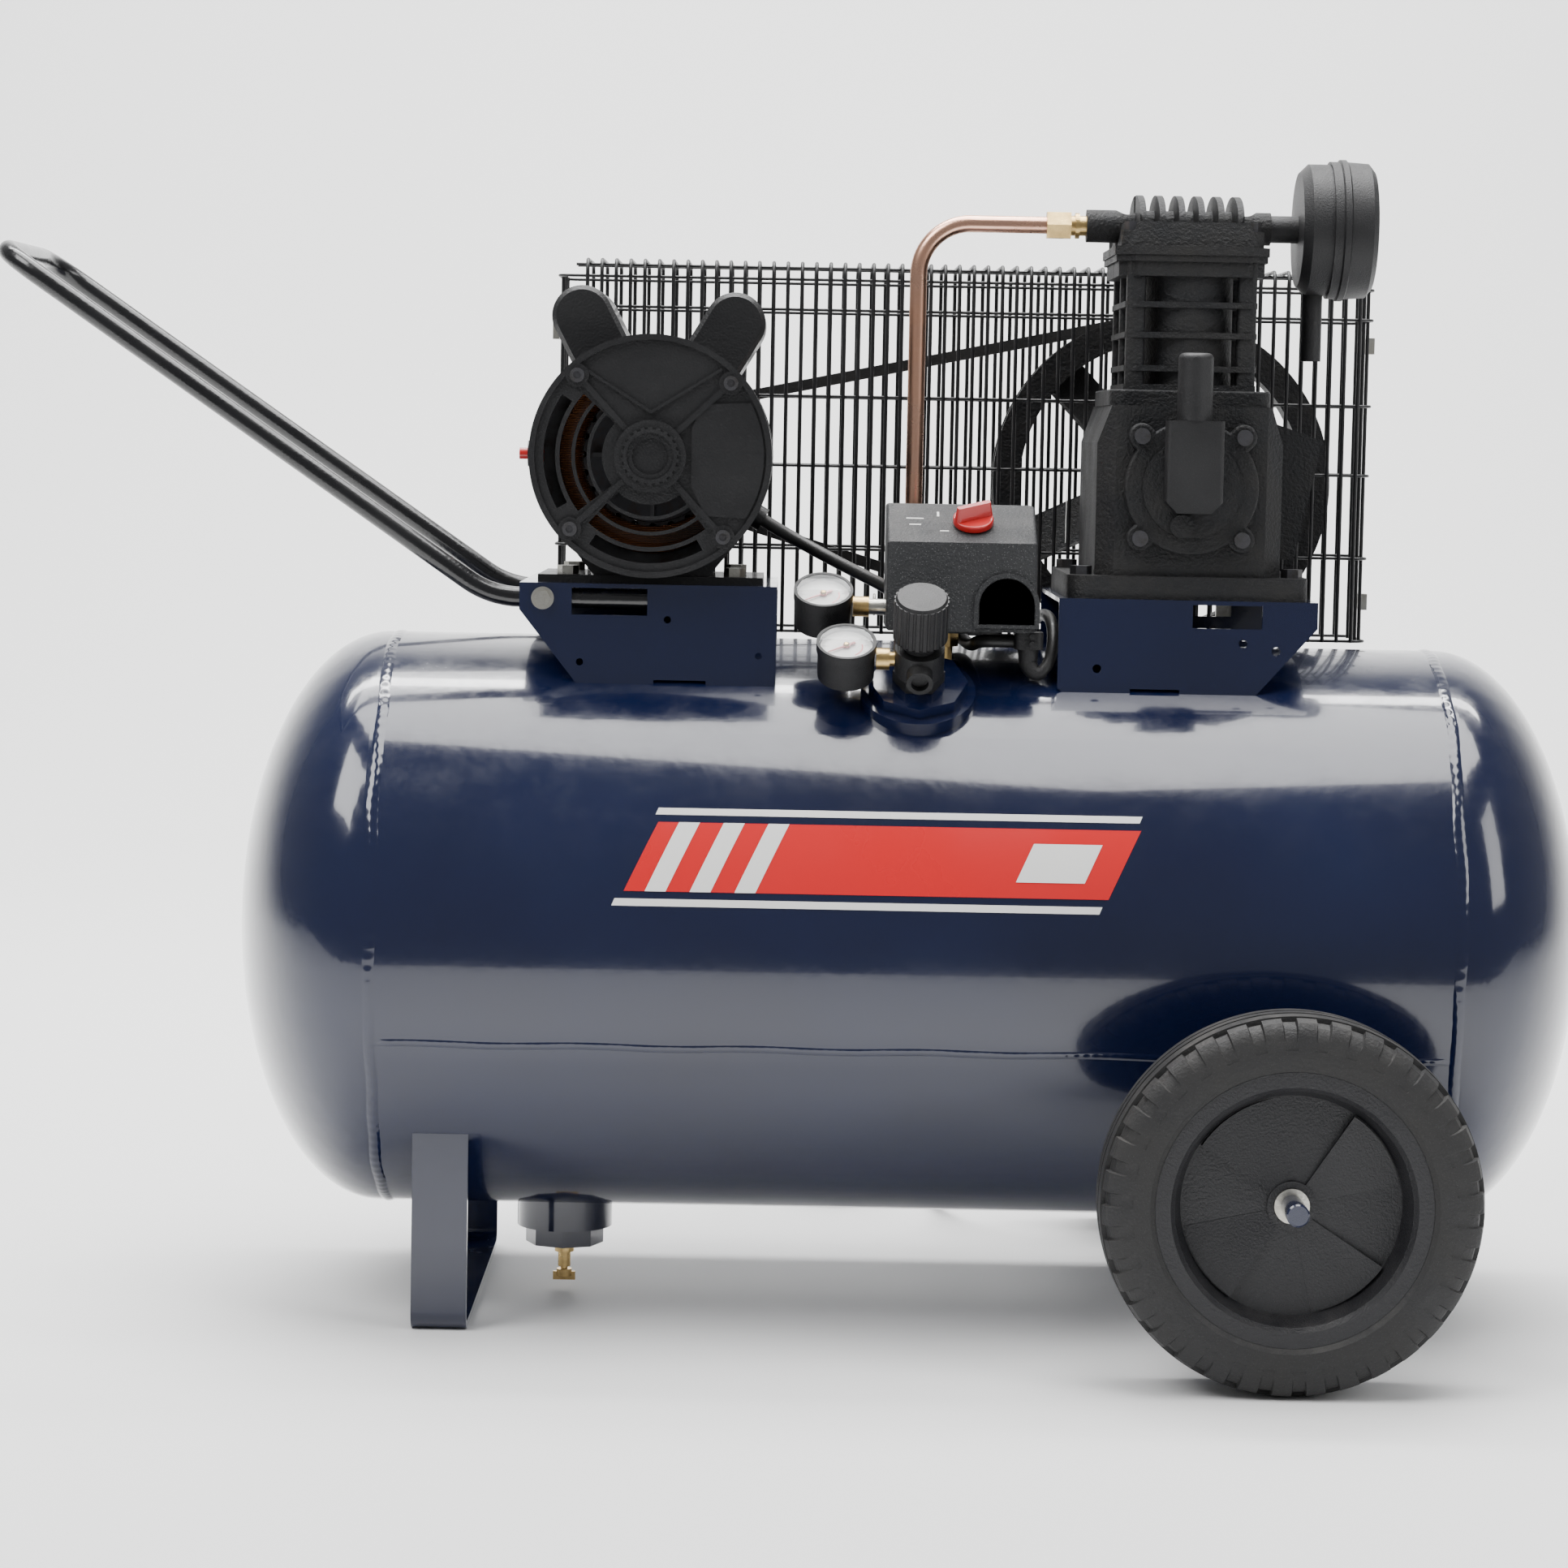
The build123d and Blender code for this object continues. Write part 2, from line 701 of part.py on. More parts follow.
# ---- Stator, rotor, shaft and bearings ----
stator_radius = motor_radius - 1 - motor_wall - 8
winding_depth = 20
with BuildPart() as stator_core:
    rod_y(motor_x, motor_z, stack_front_y, stack_back_y, motor_radius - 1 - motor_wall)
    rod_y(motor_x, motor_z, stack_front_y, stack_back_y, rotor_radius + air_gap, Mode.SUBTRACT)
    with BuildSketch(front_plane(stack_back_y)):
        with Locations((motor_x, motor_z)):
            with PolarLocations(rotor_radius + air_gap + 9, 24):
                SlotCenterToCenter(12, 5)
            with PolarLocations(through_bolt_circle, 4, start_angle=through_bolt_angle):
                Circle(3)
    extrude(amount=stack_back_y - stack_front_y, mode=Mode.SUBTRACT)
finish_piece(stator_core, "stator_core")

with BuildPart() as stator_windings:
    for front, back in (
        (stack_front_y - winding_depth, stack_front_y), (stack_back_y, stack_back_y + winding_depth)
    ):
        rod_y(motor_x, motor_z, front, back, stator_radius - 3)
        rod_y(motor_x, motor_z, front, back, rotor_radius + 3, Mode.SUBTRACT)
    fillet(stator_windings.edges().filter_by(GeomType.CIRCLE).group_by(Axis.Y)[0], 6)
    fillet(stator_windings.edges().filter_by(GeomType.CIRCLE).group_by(Axis.Y)[-1], 6)
finish_piece(stator_windings, "stator_windings")

fan_radius = rotor_radius - 4
with BuildPart() as rotor:
    rod_y(motor_x, motor_z, stack_front_y - 6, stack_back_y + 6, rotor_radius)
    for front, back in ((stack_front_y - 16, stack_front_y - 6), (stack_back_y + 6, stack_back_y + 16)):
        for turn in range(8):
            angle = radians(45 * turn)
            blade_plane = Plane(
                origin=(motor_x, back, motor_z), x_dir=(cos(angle), 0, sin(angle)), z_dir=(0, -1, 0)
            )
            with BuildSketch(blade_plane):
                with Locations(((fan_radius + shaft_radius + 4) / 2, 0)):
                    Rectangle(fan_radius - shaft_radius - 4, 3)
            extrude(amount=back - front)
    rod_y(motor_x, motor_z, stack_front_y - 20, stack_back_y + 20, shaft_radius, Mode.SUBTRACT)
finish_piece(rotor, "rotor")

shaft_back_y = belt_y + pulley_width / 2 + 4
with BuildPart() as motor_shaft:
    rod_y(motor_x, motor_z, shaft_front_y, shaft_back_y, shaft_radius)
    chamfer(motor_shaft.edges().filter_by(GeomType.CIRCLE), 1)
finish_piece(motor_shaft, "motor_shaft")

groove_width = belt_width + 2 * belt_gap
groove_depth = belt_thickness + 3
belt_proud = 1
with BuildPart() as motor_pulley:
    with BuildSketch(turning_plane(motor_x, belt_y, motor_z)):
        with BuildLine():
            half = pulley_width / 2
            Polyline(
                (-half, shaft_radius),
                (half, shaft_radius),
                (half, pulley_radius),
                (groove_width / 2 + 1, pulley_radius),
                (groove_width / 2, pulley_radius - groove_depth),
                (-groove_width / 2, pulley_radius - groove_depth),
                (-groove_width / 2 - 1, pulley_radius),
                (-half, pulley_radius),
                close=True,
            )
        make_face()
    revolve(axis=Axis((motor_x, 0, motor_z), (0, 1, 0)))
    rod_y(motor_x, motor_z, belt_y - half - 14, belt_y - half, 16)
    rod_y(motor_x, motor_z, belt_y - half - 15, belt_y, shaft_radius, Mode.SUBTRACT)
finish_piece(motor_pulley, "motor_pulley")

# ---- Capacitors under their rounded covers, and the overload button ----
capacitor_reach = 108
cover_radius = 21
cover_wall = 2
cover_front_y = -74
cover_back_y = 36
cover_angles = (90 + 27.6, 90 - 31)
with BuildPart() as capacitor_covers:
    for angle in cover_angles:
        ray = radians(angle)
        cover_plane = Plane(
            origin=(motor_x, cover_back_y, motor_z), x_dir=(cos(ray), 0, sin(ray)), z_dir=(0, -1, 0)
        )
        with BuildSketch(cover_plane):
            with Locations((capacitor_reach, 0)):
                Circle(cover_radius)
            with Locations((capacitor_reach / 2, 0)):
                Rectangle(capacitor_reach, 2 * cover_radius)
        extrude(amount=cover_back_y - cover_front_y)
    chamfer(capacitor_covers.edges().group_by(Axis.Y)[0], 3)
    for angle in cover_angles:
        ray = radians(angle)
        inner_plane = Plane(
            origin=(motor_x, cover_back_y - cover_wall, motor_z), x_dir=(cos(ray), 0, sin(ray)), z_dir=(
                0, -1, 0
            )
        )
        with BuildSketch(inner_plane):
            with Locations((capacitor_reach, 0)):
                Circle(cover_radius - cover_wall)
            with Locations((capacitor_reach / 2, 0)):
                Rectangle(capacitor_reach, 2 * (cover_radius - cover_wall))
        extrude(amount=cover_back_y - cover_front_y - 2 * cover_wall - 2, mode=Mode.SUBTRACT)
    rod_y(motor_x, motor_z, bell_back_y - 60, 200, motor_radius, Mode.SUBTRACT)
finish_piece(capacitor_covers, "capacitor_covers")

with BuildPart() as capacitors:
    for angle in cover_angles:
        ray = radians(angle)
        can_x = motor_x + capacitor_reach * cos(ray)
        can_z = motor_z + capacitor_reach * sin(ray)
        rod_y(can_x, can_z, cover_front_y + 8, cover_back_y - 12, 17)
        rod_y(can_x, can_z, cover_back_y - 12, cover_back_y - 8, 4)
finish_piece(capacitors, "capacitors")

with BuildPart() as reset_button:
    rod_x(button_y, motor_z, button_boss - 6, motor_x - motor_inside + 2, button_radius)
    rod_x(button_y, motor_z, motor_x - motor_inside + 1.2, motor_x - motor_inside + 3, button_radius + 1.4)
finish_piece(reset_button, "reset_button")

# ---- Belt: a loop round both wheels ----
belt_back = {"pump": flywheel_radius + belt_proud, "motor": pulley_radius + belt_proud}
with BuildPart() as drive_belt:
    with BuildSketch(front_plane(belt_y + belt_width / 2)):
        with Locations((pump_x, pump_z)):
            Circle(belt_back["pump"])
        with Locations((motor_x, motor_z)):
            Circle(belt_back["motor"])
        make_hull()
    extrude(amount=belt_width)
    with BuildSketch(front_plane(belt_y + belt_width / 2)):
        with Locations((pump_x, pump_z)):
            Circle(belt_back["pump"] - belt_thickness)
        with Locations((motor_x, motor_z)):
            Circle(belt_back["motor"] - belt_thickness)
        make_hull()
    extrude(amount=belt_width, mode=Mode.SUBTRACT)
finish_piece(drive_belt, "drive_belt")

# ---- Flywheel: rim, hub and broad pitched spokes that blow air over the pump ----
spoke_width = 34
spoke_thickness = 5
spoke_pitch = 62
wheel_hub = 24
spoke_start = 205
with BuildPart() as flywheel:
    with BuildSketch(turning_plane(pump_x, belt_y, pump_z)):
        with BuildLine():
            half = flywheel_width / 2
            inner = flywheel_radius - rim_thickness
            Polyline(
                (-half, inner),
                (half, inner),
                (half, flywheel_radius),
                (groove_width / 2 + 1, flywheel_radius),
                (groove_width / 2, flywheel_radius - groove_depth),
                (-groove_width / 2, flywheel_radius - groove_depth),
                (-groove_width / 2 - 1, flywheel_radius),
                (-half, flywheel_radius),
                close=True,
            )
        make_face()
    revolve(axis=Axis((pump_x, 0, pump_z), (0, 1, 0)))
    rod_y(pump_x, pump_z, belt_y - 38, belt_y + half, wheel_hub)
    for spoke in range(spoke_count):
        ray = radians(spoke_start + 360 / spoke_count * spoke)
        outward = Vector(cos(ray), 0, sin(ray))
        across = Vector(-sin(ray), 0, cos(ray))
        lean = radians(spoke_pitch)
        facing = across * cos(lean) + Vector(0, 1, 0) * sin(lean)
        spoke_mid = (wheel_hub + inner) / 2
        with BuildSketch(
            Plane(origin=Vector(pump_x, belt_y, pump_z) + outward * spoke_mid, x_dir=outward, z_dir=facing)
        ):
            Rectangle(inner - wheel_hub + 8, spoke_width)
        extrude(amount=spoke_thickness / 2, both=True)
    rod_y(pump_x, pump_z, belt_y - 40, belt_y + half + 1, crank_radius, Mode.SUBTRACT)
finish_piece(flywheel, "flywheel")

# ---- Crankcase ----
cavity_half = 50
cavity_front_y = case_front_y + case_wall
cavity_back_y = 72
cavity_low = 524
cover_opening = 42
case_shoulder = 9
shoulder_drop = 26
with BuildPart() as crankcase:
    with BuildSketch(front_plane(case_back_y)):
        with BuildLine():
            Polyline(
                (pump_x - case_half, pump_saddle_top + 4),
                (pump_x - case_half, case_top - shoulder_drop),
                (pump_x - case_half + case_shoulder, case_top),
                (pump_x + case_half - case_shoulder, case_top),
                (pump_x + case_half, case_top - shoulder_drop),
                (pump_x + case_half, pump_saddle_top + 4),
                close=True,
            )
        make_face()
    extrude(amount=case_back_y - case_front_y)
    chamfer(crankcase.edges().filter_by(Axis.Z), 12)
    with BuildSketch(front_plane(60)):
        with BuildLine():
            Polyline(
                (pump_x + case_half - 2, case_top - 9),
                (pump_x + case_half + 36, case_top - 22),
                (pump_x + case_half + 18, case_top - 106),
                (pump_x + case_half - 2, case_top - 106),
                close=True,
            )
        make_face()
    extrude(amount=74)
    with BuildSketch(Plane.XY.offset(pump_saddle_top)):
        with Locations((pump_x, (case_front_y + case_back_y) / 2)):
            RectangleRounded(2 * flange_half, case_back_y - case_front_y + 8, 14)
    extrude(amount=flange_height)
    with BuildSketch(Plane.XY.offset(case_top)):
        with Locations((pump_x, pump_y)):
            RectangleRounded(2 * (case_half - case_shoulder) + 2, block_depth + 22, 12)
    extrude(amount=block_base - case_top)
    fillet(crankcase.edges().group_by(Axis.Z)[-1], 1.5)
    block(
        pump_x - cavity_half,
        pump_x + cavity_half,
        cavity_front_y,
        cavity_back_y,
        cavity_low,
        case_top,
        Mode.SUBTRACT,
    )
    rod_y(pump_x, pump_z, case_front_y - 1, cavity_front_y + 1, cover_opening, Mode.SUBTRACT)
    rod_y(
        pump_x,
        pump_z,
        cavity_back_y - 1,
        cavity_back_y + crank_bearing_width + 1,
        crank_bearing_radius,
        Mode.SUBTRACT,
    )
    rod_y(pump_x, pump_z, cavity_back_y, case_back_y + 8, crank_radius + 1.5, Mode.SUBTRACT)
    for end in ("front", "rear"):
        rod_z(pump_x, cylinder_y[end], case_top - 1, block_base + 1, bore_radius + 1, Mode.SUBTRACT)
    for dx in (-case_bolt_dx, case_bolt_dx):
        for bolt_y in case_bolt_y:
            rod_z(
                pump_x + dx,
                bolt_y,
                pump_saddle_top,
                pump_saddle_top + flange_height + 1,
                bolt_radius + 0.1,
                Mode.SUBTRACT,
            )
finish_piece(crankcase, "crankcase")

cover_thickness = 9
cover_bolt = 35
cover_face_y = case_front_y - cover_thickness
ring_radius = 34
cover_radius_wide = 46
with BuildPart() as crankcase_cover:
    with BuildSketch(front_plane(case_front_y)):
        with Locations((pump_x, pump_z)):
            Circle(cover_radius_wide)
            with Locations(Location((0, 0), 45), Location((0, 0), 135)):
                SlotCenterToCenter(2 * cover_bolt * sqrt(2), 18)
    extrude(amount=cover_thickness)
    fillet(crankcase_cover.faces().sort_by(Axis.Y)[0].edges(), 2)
    rod_y(pump_x, pump_z, cover_face_y - 4, cover_face_y, ring_radius)
    rod_y(pump_x, pump_z, case_front_y, case_front_y + crank_bearing_width + 5, crank_bearing_radius + 5)
    rod_y(
        pump_x, pump_z, case_front_y + 4, case_front_y + crank_bearing_width + 6, crank_bearing_radius, Mode.SUBTRACT
    )
    with BuildSketch(front_plane(cover_face_y + cover_thickness + 1)):
        with Locations((pump_x, pump_z)):
            with GridLocations(2 * cover_bolt, 2 * cover_bolt, 2, 2):
                Circle(3.1)
    extrude(amount=cover_thickness + 3, mode=Mode.SUBTRACT)
    rod_y(pump_x - 7, pump_z - 26, cover_face_y - 10, cover_face_y, 8)
finish_piece(crankcase_cover, "crankcase_cover")

# ---- Cylinder block with its fins, valve plate and head ----
barrel_radius = bore_radius + 7
post = 13
fin_levels = (667, 690, 711)
fin_thickness = 4
block_front_y = pump_y - block_depth / 2
block_back_y = pump_y + block_depth / 2
deck_flange = 10
with BuildPart() as cylinder_block:
    for end in ("front", "rear"):
        rod_z(pump_x, cylinder_y[end], block_base, deck_z, barrel_radius)
    block(pump_x - 20, pump_x + 20, cylinder_y["front"], cylinder_y["rear"], block_base, deck_z)
    for level in (block_base + 2, *fin_levels):
        with BuildSketch(Plane.XY.offset(level - fin_thickness / 2)):
            with Locations((pump_x, pump_y)):
                RectangleRounded(2 * block_half, block_depth, 8)
        extrude(amount=fin_thickness)
    block(pump_x - 4.5, pump_x + 4.5, block_front_y + 1, cylinder_y["front"], block_base, deck_z)
    for x_side in (-1, 1):
        for post_y in (block_front_y + post / 2 + 1, pump_y, block_back_y - post / 2 - 1):
            post_x = pump_x + x_side * (block_half - post / 2 - 1)
            with BuildSketch(Plane.XY.offset(block_base)):
                with Locations((post_x, post_y)):
                    RectangleRounded(post, post, 3)
            extrude(amount=deck_z - block_base)
    with BuildSketch(Plane.XY.offset(deck_z - deck_flange)):
        with Locations((pump_x, pump_y)):
            flange = Rectangle(2 * head_half - 6, block_depth + 4)
        chamfer(flange.vertices(), 12)
    extrude(amount=deck_flange)
    block(
        pump_x - head_half,
        pump_x + head_half,
        pump_y - 70,
        pump_y + 70,
        block_base - 9,
        block_base,
        Mode.SUBTRACT,
    )
    for end in ("front", "rear"):
        rod_z(pump_x, cylinder_y[end], block_base, deck_z, bore_radius, Mode.SUBTRACT)
finish_piece(cylinder_block, "cylinder_block")

with BuildPart() as valve_plate:
    with BuildSketch(Plane.XY.offset(deck_z)):
        with Locations((pump_x, pump_y)):
            outline = Rectangle(2 * head_half - 2, block_depth + 8)
        chamfer(outline.vertices(), 12)
        for end in ("front", "rear"):
            with Locations((pump_x - 12, cylinder_y[end]), (pump_x + 12, cylinder_y[end])):
                Circle(5, mode=Mode.SUBTRACT)
    extrude(amount=head_base - deck_z)
finish_piece(valve_plate, "valve_plate")

fin_count = 6
head_fin_pitch = 13.6
head_fin_thickness = 4.5
head_fin_height = 21
outlet_reach = 70
intake_reach = 59.5
port_boss = 11.5
port_z = 767
head_bolt_seat = head_top - 6
with BuildPart() as cylinder_head:
    with BuildSketch(Plane.XY.offset(head_base)):
        with Locations((pump_x, pump_y)):
            outline = Rectangle(2 * head_half, block_depth + 10)
        chamfer(outline.vertices(), 12)
    extrude(amount=6)
    with BuildSketch(Plane.XY.offset(head_base + 6)):
        with Locations((pump_x, pump_y)):
            RectangleRounded(2 * head_half - 10, block_depth, 10)
    extrude(amount=head_top - head_base - 6, taper=8)
    for fin in range(fin_count):
        fin_x = pump_x + (fin - (fin_count - 1) / 2) * head_fin_pitch
        with BuildSketch(Plane.YZ.offset(fin_x - head_fin_thickness / 2)):
            with Locations((pump_y, head_top)):
                Ellipse(block_depth / 2 - 14, head_fin_height)
            with Locations((pump_y, head_top - head_fin_height)):
                Rectangle(block_depth, 2 * head_fin_height, mode=Mode.SUBTRACT)
        extrude(amount=head_fin_thickness)
    rod_x(pump_y, port_z, pump_x - outlet_reach, pump_x, port_boss)
    rod_x(pump_y, port_z, pump_x, pump_x + intake_reach, port_boss)
    for dx in (-1, 1):
        for bolt_y in (block_front_y + 10, pump_y, block_back_y - 10):
            rod_z(pump_x + dx * (head_half - 12), bolt_y, head_base + 6, head_bolt_seat, 8)
            rod_z(
                pump_x + dx * (head_half - 12),
                bolt_y,
                head_bolt_seat,
                head_top + head_fin_height,
                8,
                Mode.SUBTRACT,
            )
    for end in ("front", "rear"):
        for dx in (-1, 1):
            rod_z(pump_x + 14 * dx, cylinder_y[end], head_base, port_z, 7, Mode.SUBTRACT)
    rod_x(pump_y, port_z, pump_x - outlet_reach - 1, pump_x - 8, 5.5, Mode.SUBTRACT)
    rod_x(pump_y, port_z, pump_x + 8, pump_x + intake_reach + 1, 7, Mode.SUBTRACT)
finish_piece(cylinder_head, "cylinder_head")

# ---- Crankshaft: journals and webs on one axis; the pins between the webs are with the rods ----
crank_front_y = case_front_y + 5
half_big_end = big_end_width / 2 + face_gap
nose_back_y = belt_y + flywheel_width / 2 + 3
with BuildPart() as crankshaft:
    front_web = cylinder_y["front"] - half_big_end
    rear_web = cylinder_y["rear"] + half_big_end
    rod_y(pump_x, pump_z, crank_front_y, front_web, crank_radius)
    rod_y(pump_x, pump_z, front_web - web_width, front_web, web_radius)
    rod_y(pump_x, pump_z, cylinder_y["front"] + half_big_end, cylinder_y["rear"] - half_big_end, 14)
    for inner_face in (cylinder_y["front"] + half_big_end, cylinder_y["rear"] - half_big_end - web_width):
        rod_y(pump_x, pump_z, inner_face, inner_face + web_width, web_radius)
    rod_y(pump_x, pump_z, rear_web, rear_web + web_width, web_radius)
    rod_y(pump_x, pump_z, rear_web, nose_back_y, crank_radius)
finish_piece(crankshaft, "crankshaft")

# ---- Pistons with wrist pin, rod and crank pin; the front one is at the top of its stroke ----
for end, crank_side in (("front", 1), ("rear", -1)):
    y = cylinder_y[end]
    pin_z = pump_z + crank_side * throw
    wrist_z = pin_z + rod_length
    crown_z = wrist_z + crown_to_pin
    with BuildPart() as piston:
        rod_z(pump_x, y, crown_z - piston_height, crown_z, bore_radius - running_gap)
        rod_z(pump_x, y, crown_z - piston_height - 1, crown_z - 7, bore_radius - 4, Mode.SUBTRACT)
        for side in (-1, 1):
            wrist_boss = sorted((y + side * 8, y + side * (bore_radius - 3)))
            rod_y(pump_x, wrist_z, *wrist_boss, wrist_radius + 4)
        for ring_z in (crown_z - 4, crown_z - 8):
            with BuildSketch(Plane.XY.offset(ring_z)):
                with Locations((pump_x, y)):
                    Circle(bore_radius)
                    Circle(bore_radius - 1.5, mode=Mode.SUBTRACT)
            extrude(amount=1.5, mode=Mode.SUBTRACT)
        rod_y(pump_x, wrist_z, y - bore_radius + 2, y + bore_radius - 2, wrist_radius)
        rod_y(pump_x, wrist_z, y - 7, y + 7, wrist_radius + 4)
        block(pump_x - 7, pump_x + 7, y - 4, y + 4, pin_z + pin_radius, wrist_z - wrist_radius)
        rod_y(pump_x, pin_z, y - big_end_width / 2, y + big_end_width / 2, pin_radius + 5)
    finish_piece(piston, f"piston_{end}")

with BuildPart() as bearings:
    for seat_y, outer, inner, x, z, width in (
        (case_front_y + 4, crank_bearing_radius, crank_radius, pump_x, pump_z, crank_bearing_width),
        (cavity_back_y + 1, crank_bearing_radius, crank_radius, pump_x, pump_z, crank_bearing_width),
        (front_bearing_y, bearing_radius, shaft_radius, motor_x, motor_z, bearing_width),
        (rear_bearing_y, bearing_radius, shaft_radius, motor_x, motor_z, bearing_width),
    ):
        rod_y(x, z, seat_y, seat_y + width, outer)
        rod_y(x, z, seat_y, seat_y + width, inner + running_gap, Mode.SUBTRACT)
finish_piece(bearings, "bearings")

# ---- Breather ----
breather_front_y = cover_face_y - 4 - 22
with BuildPart() as breather:
    block(pump_x - 20, pump_x + 19, breather_front_y, cover_face_y - 4, pump_z - 17, pump_z + 46)
    chamfer(breather.edges().filter_by(Axis.Y).group_by(Axis.Z)[0], 8)
    fillet(breather.edges().filter_by(Axis.Z), 3)
    rod_z(pump_x - 1, (breather_front_y + cover_face_y - 4) / 2, pump_z + 46, pump_z + 92, 12)
    fillet(breather.edges().group_by(Axis.Z)[-1], 4)
finish_piece(breather, "breather")

with BuildPart() as pump_bolts:
    for dx in (-case_bolt_dx, case_bolt_dx):
        for bolt_y in case_bolt_y:
            rod_z(
                pump_x + dx, bolt_y, pump_saddle_top - sheet, pump_saddle_top + flange_height, bolt_radius
            )
            with BuildSketch(Plane.XY.offset(pump_saddle_top + flange_height)):
                with Locations((pump_x + dx, bolt_y)):
                    RegularPolygon(7.5, 6)
            extrude(amount=6)
    for dx in (-cover_bolt, cover_bolt):
        for dz in (-cover_bolt, cover_bolt):
            rod_y(pump_x + dx, pump_z + dz, cover_face_y, case_front_y, 3)
            rod_y(pump_x + dx, pump_z + dz, cover_face_y - 5, cover_face_y, 5.5)
    for dx in (-1, 1):
        for bolt_y in (block_front_y + 10, pump_y, block_back_y - 10):
            with BuildSketch(Plane.XY.offset(head_bolt_seat)):
                with Locations((pump_x + dx * (head_half - 12), bolt_y)):
                    RegularPolygon(6, 6)
            extrude(amount=6)
finish_piece(pump_bolts, "pump_bolts")

# ---- Intake filter: base with its neck and stub, cover, and the paper element ----
filter_radius = 48
neck_end = intake_reach
drum_left = 79
drum_mid = 106
drum_right = 131
stub_x = pump_x + 90.5
stub_radius = 7.3
filter_line = lengthways_plane(pump_x, pump_y, port_z)
filter_axis = Axis((0, pump_y, port_z), (1, 0, 0))
with BuildPart() as filter_base:
    with BuildSketch(filter_line):
        with BuildLine():
            Polyline(
                (neck_end, port_boss - 2),
                (drum_left, port_boss - 2),
                (drum_left, filter_radius - 8),
                (drum_left + 6, filter_radius - 2),
                (drum_mid, filter_radius - 2),
                (drum_mid, filter_radius - 4),
                (drum_left + 7, filter_radius - 4),
                (drum_left + 3, filter_radius - 9),
                (drum_left + 3, 7),
                (neck_end, 7),
                close=True,
            )
        make_face()
    revolve(axis=filter_axis)
    rod_z(stub_x, pump_y, port_z - 92, port_z - filter_radius + 6, stub_radius)
    rod_z(stub_x, pump_y, port_z - 93, port_z - filter_radius, 5.5, Mode.SUBTRACT)
finish_piece(filter_base, "filter_base")

with BuildPart() as filter_cover:
    with BuildSketch(filter_line):
        with BuildLine():
            Polyline(
                (drum_mid - 6, filter_radius - 2),
                (drum_mid - 6, filter_radius),
                (drum_mid, filter_radius),
                (drum_mid + 1, filter_radius + 1.5),
                (drum_mid + 5, filter_radius + 1.5),
                (drum_mid + 6, filter_radius),
                (drum_right - 4, filter_radius - 1),
                (drum_right, filter_radius - 6),
                (drum_right, 0),
                (drum_right - 2, 0),
                (drum_right - 2, filter_radius - 7),
                (drum_right - 5, filter_radius - 3),
                (drum_mid, filter_radius - 2),
                close=True,
            )
        make_face()
    revolve(axis=filter_axis)
finish_piece(filter_cover, "filter_cover")

with BuildPart() as filter_element:
    rod_x(pump_y, port_z, pump_x + drum_left + 12, pump_x + drum_right - 2, 40)
    rod_x(pump_y, port_z, pump_x + drum_left + 12, pump_x + drum_right - 2, 26, Mode.SUBTRACT)
finish_piece(filter_element, "filter_element")

# ---- Discharge tube from the head down to the check valve ----
nut_left = pump_x - outlet_reach - 28
check_valve_top = tank_top + 36
with BuildPart() as discharge_tube:
    with BuildLine() as tube_line:
        FilletPolyline(
            (pump_x - outlet_reach - 4, pump_y, port_z),
            (tube_x, pump_y, port_z),
            (tube_x, 0, check_valve_top - 20),
            radius=tube_bend,
        )
    with BuildSketch(Plane(origin=tube_line.line @ 0, z_dir=tube_line.line % 0)):
        Circle(tube_radius)
        Circle(tube_radius - tube_wall, mode=Mode.SUBTRACT)
    sweep()
finish_piece(discharge_tube, "discharge_tube")

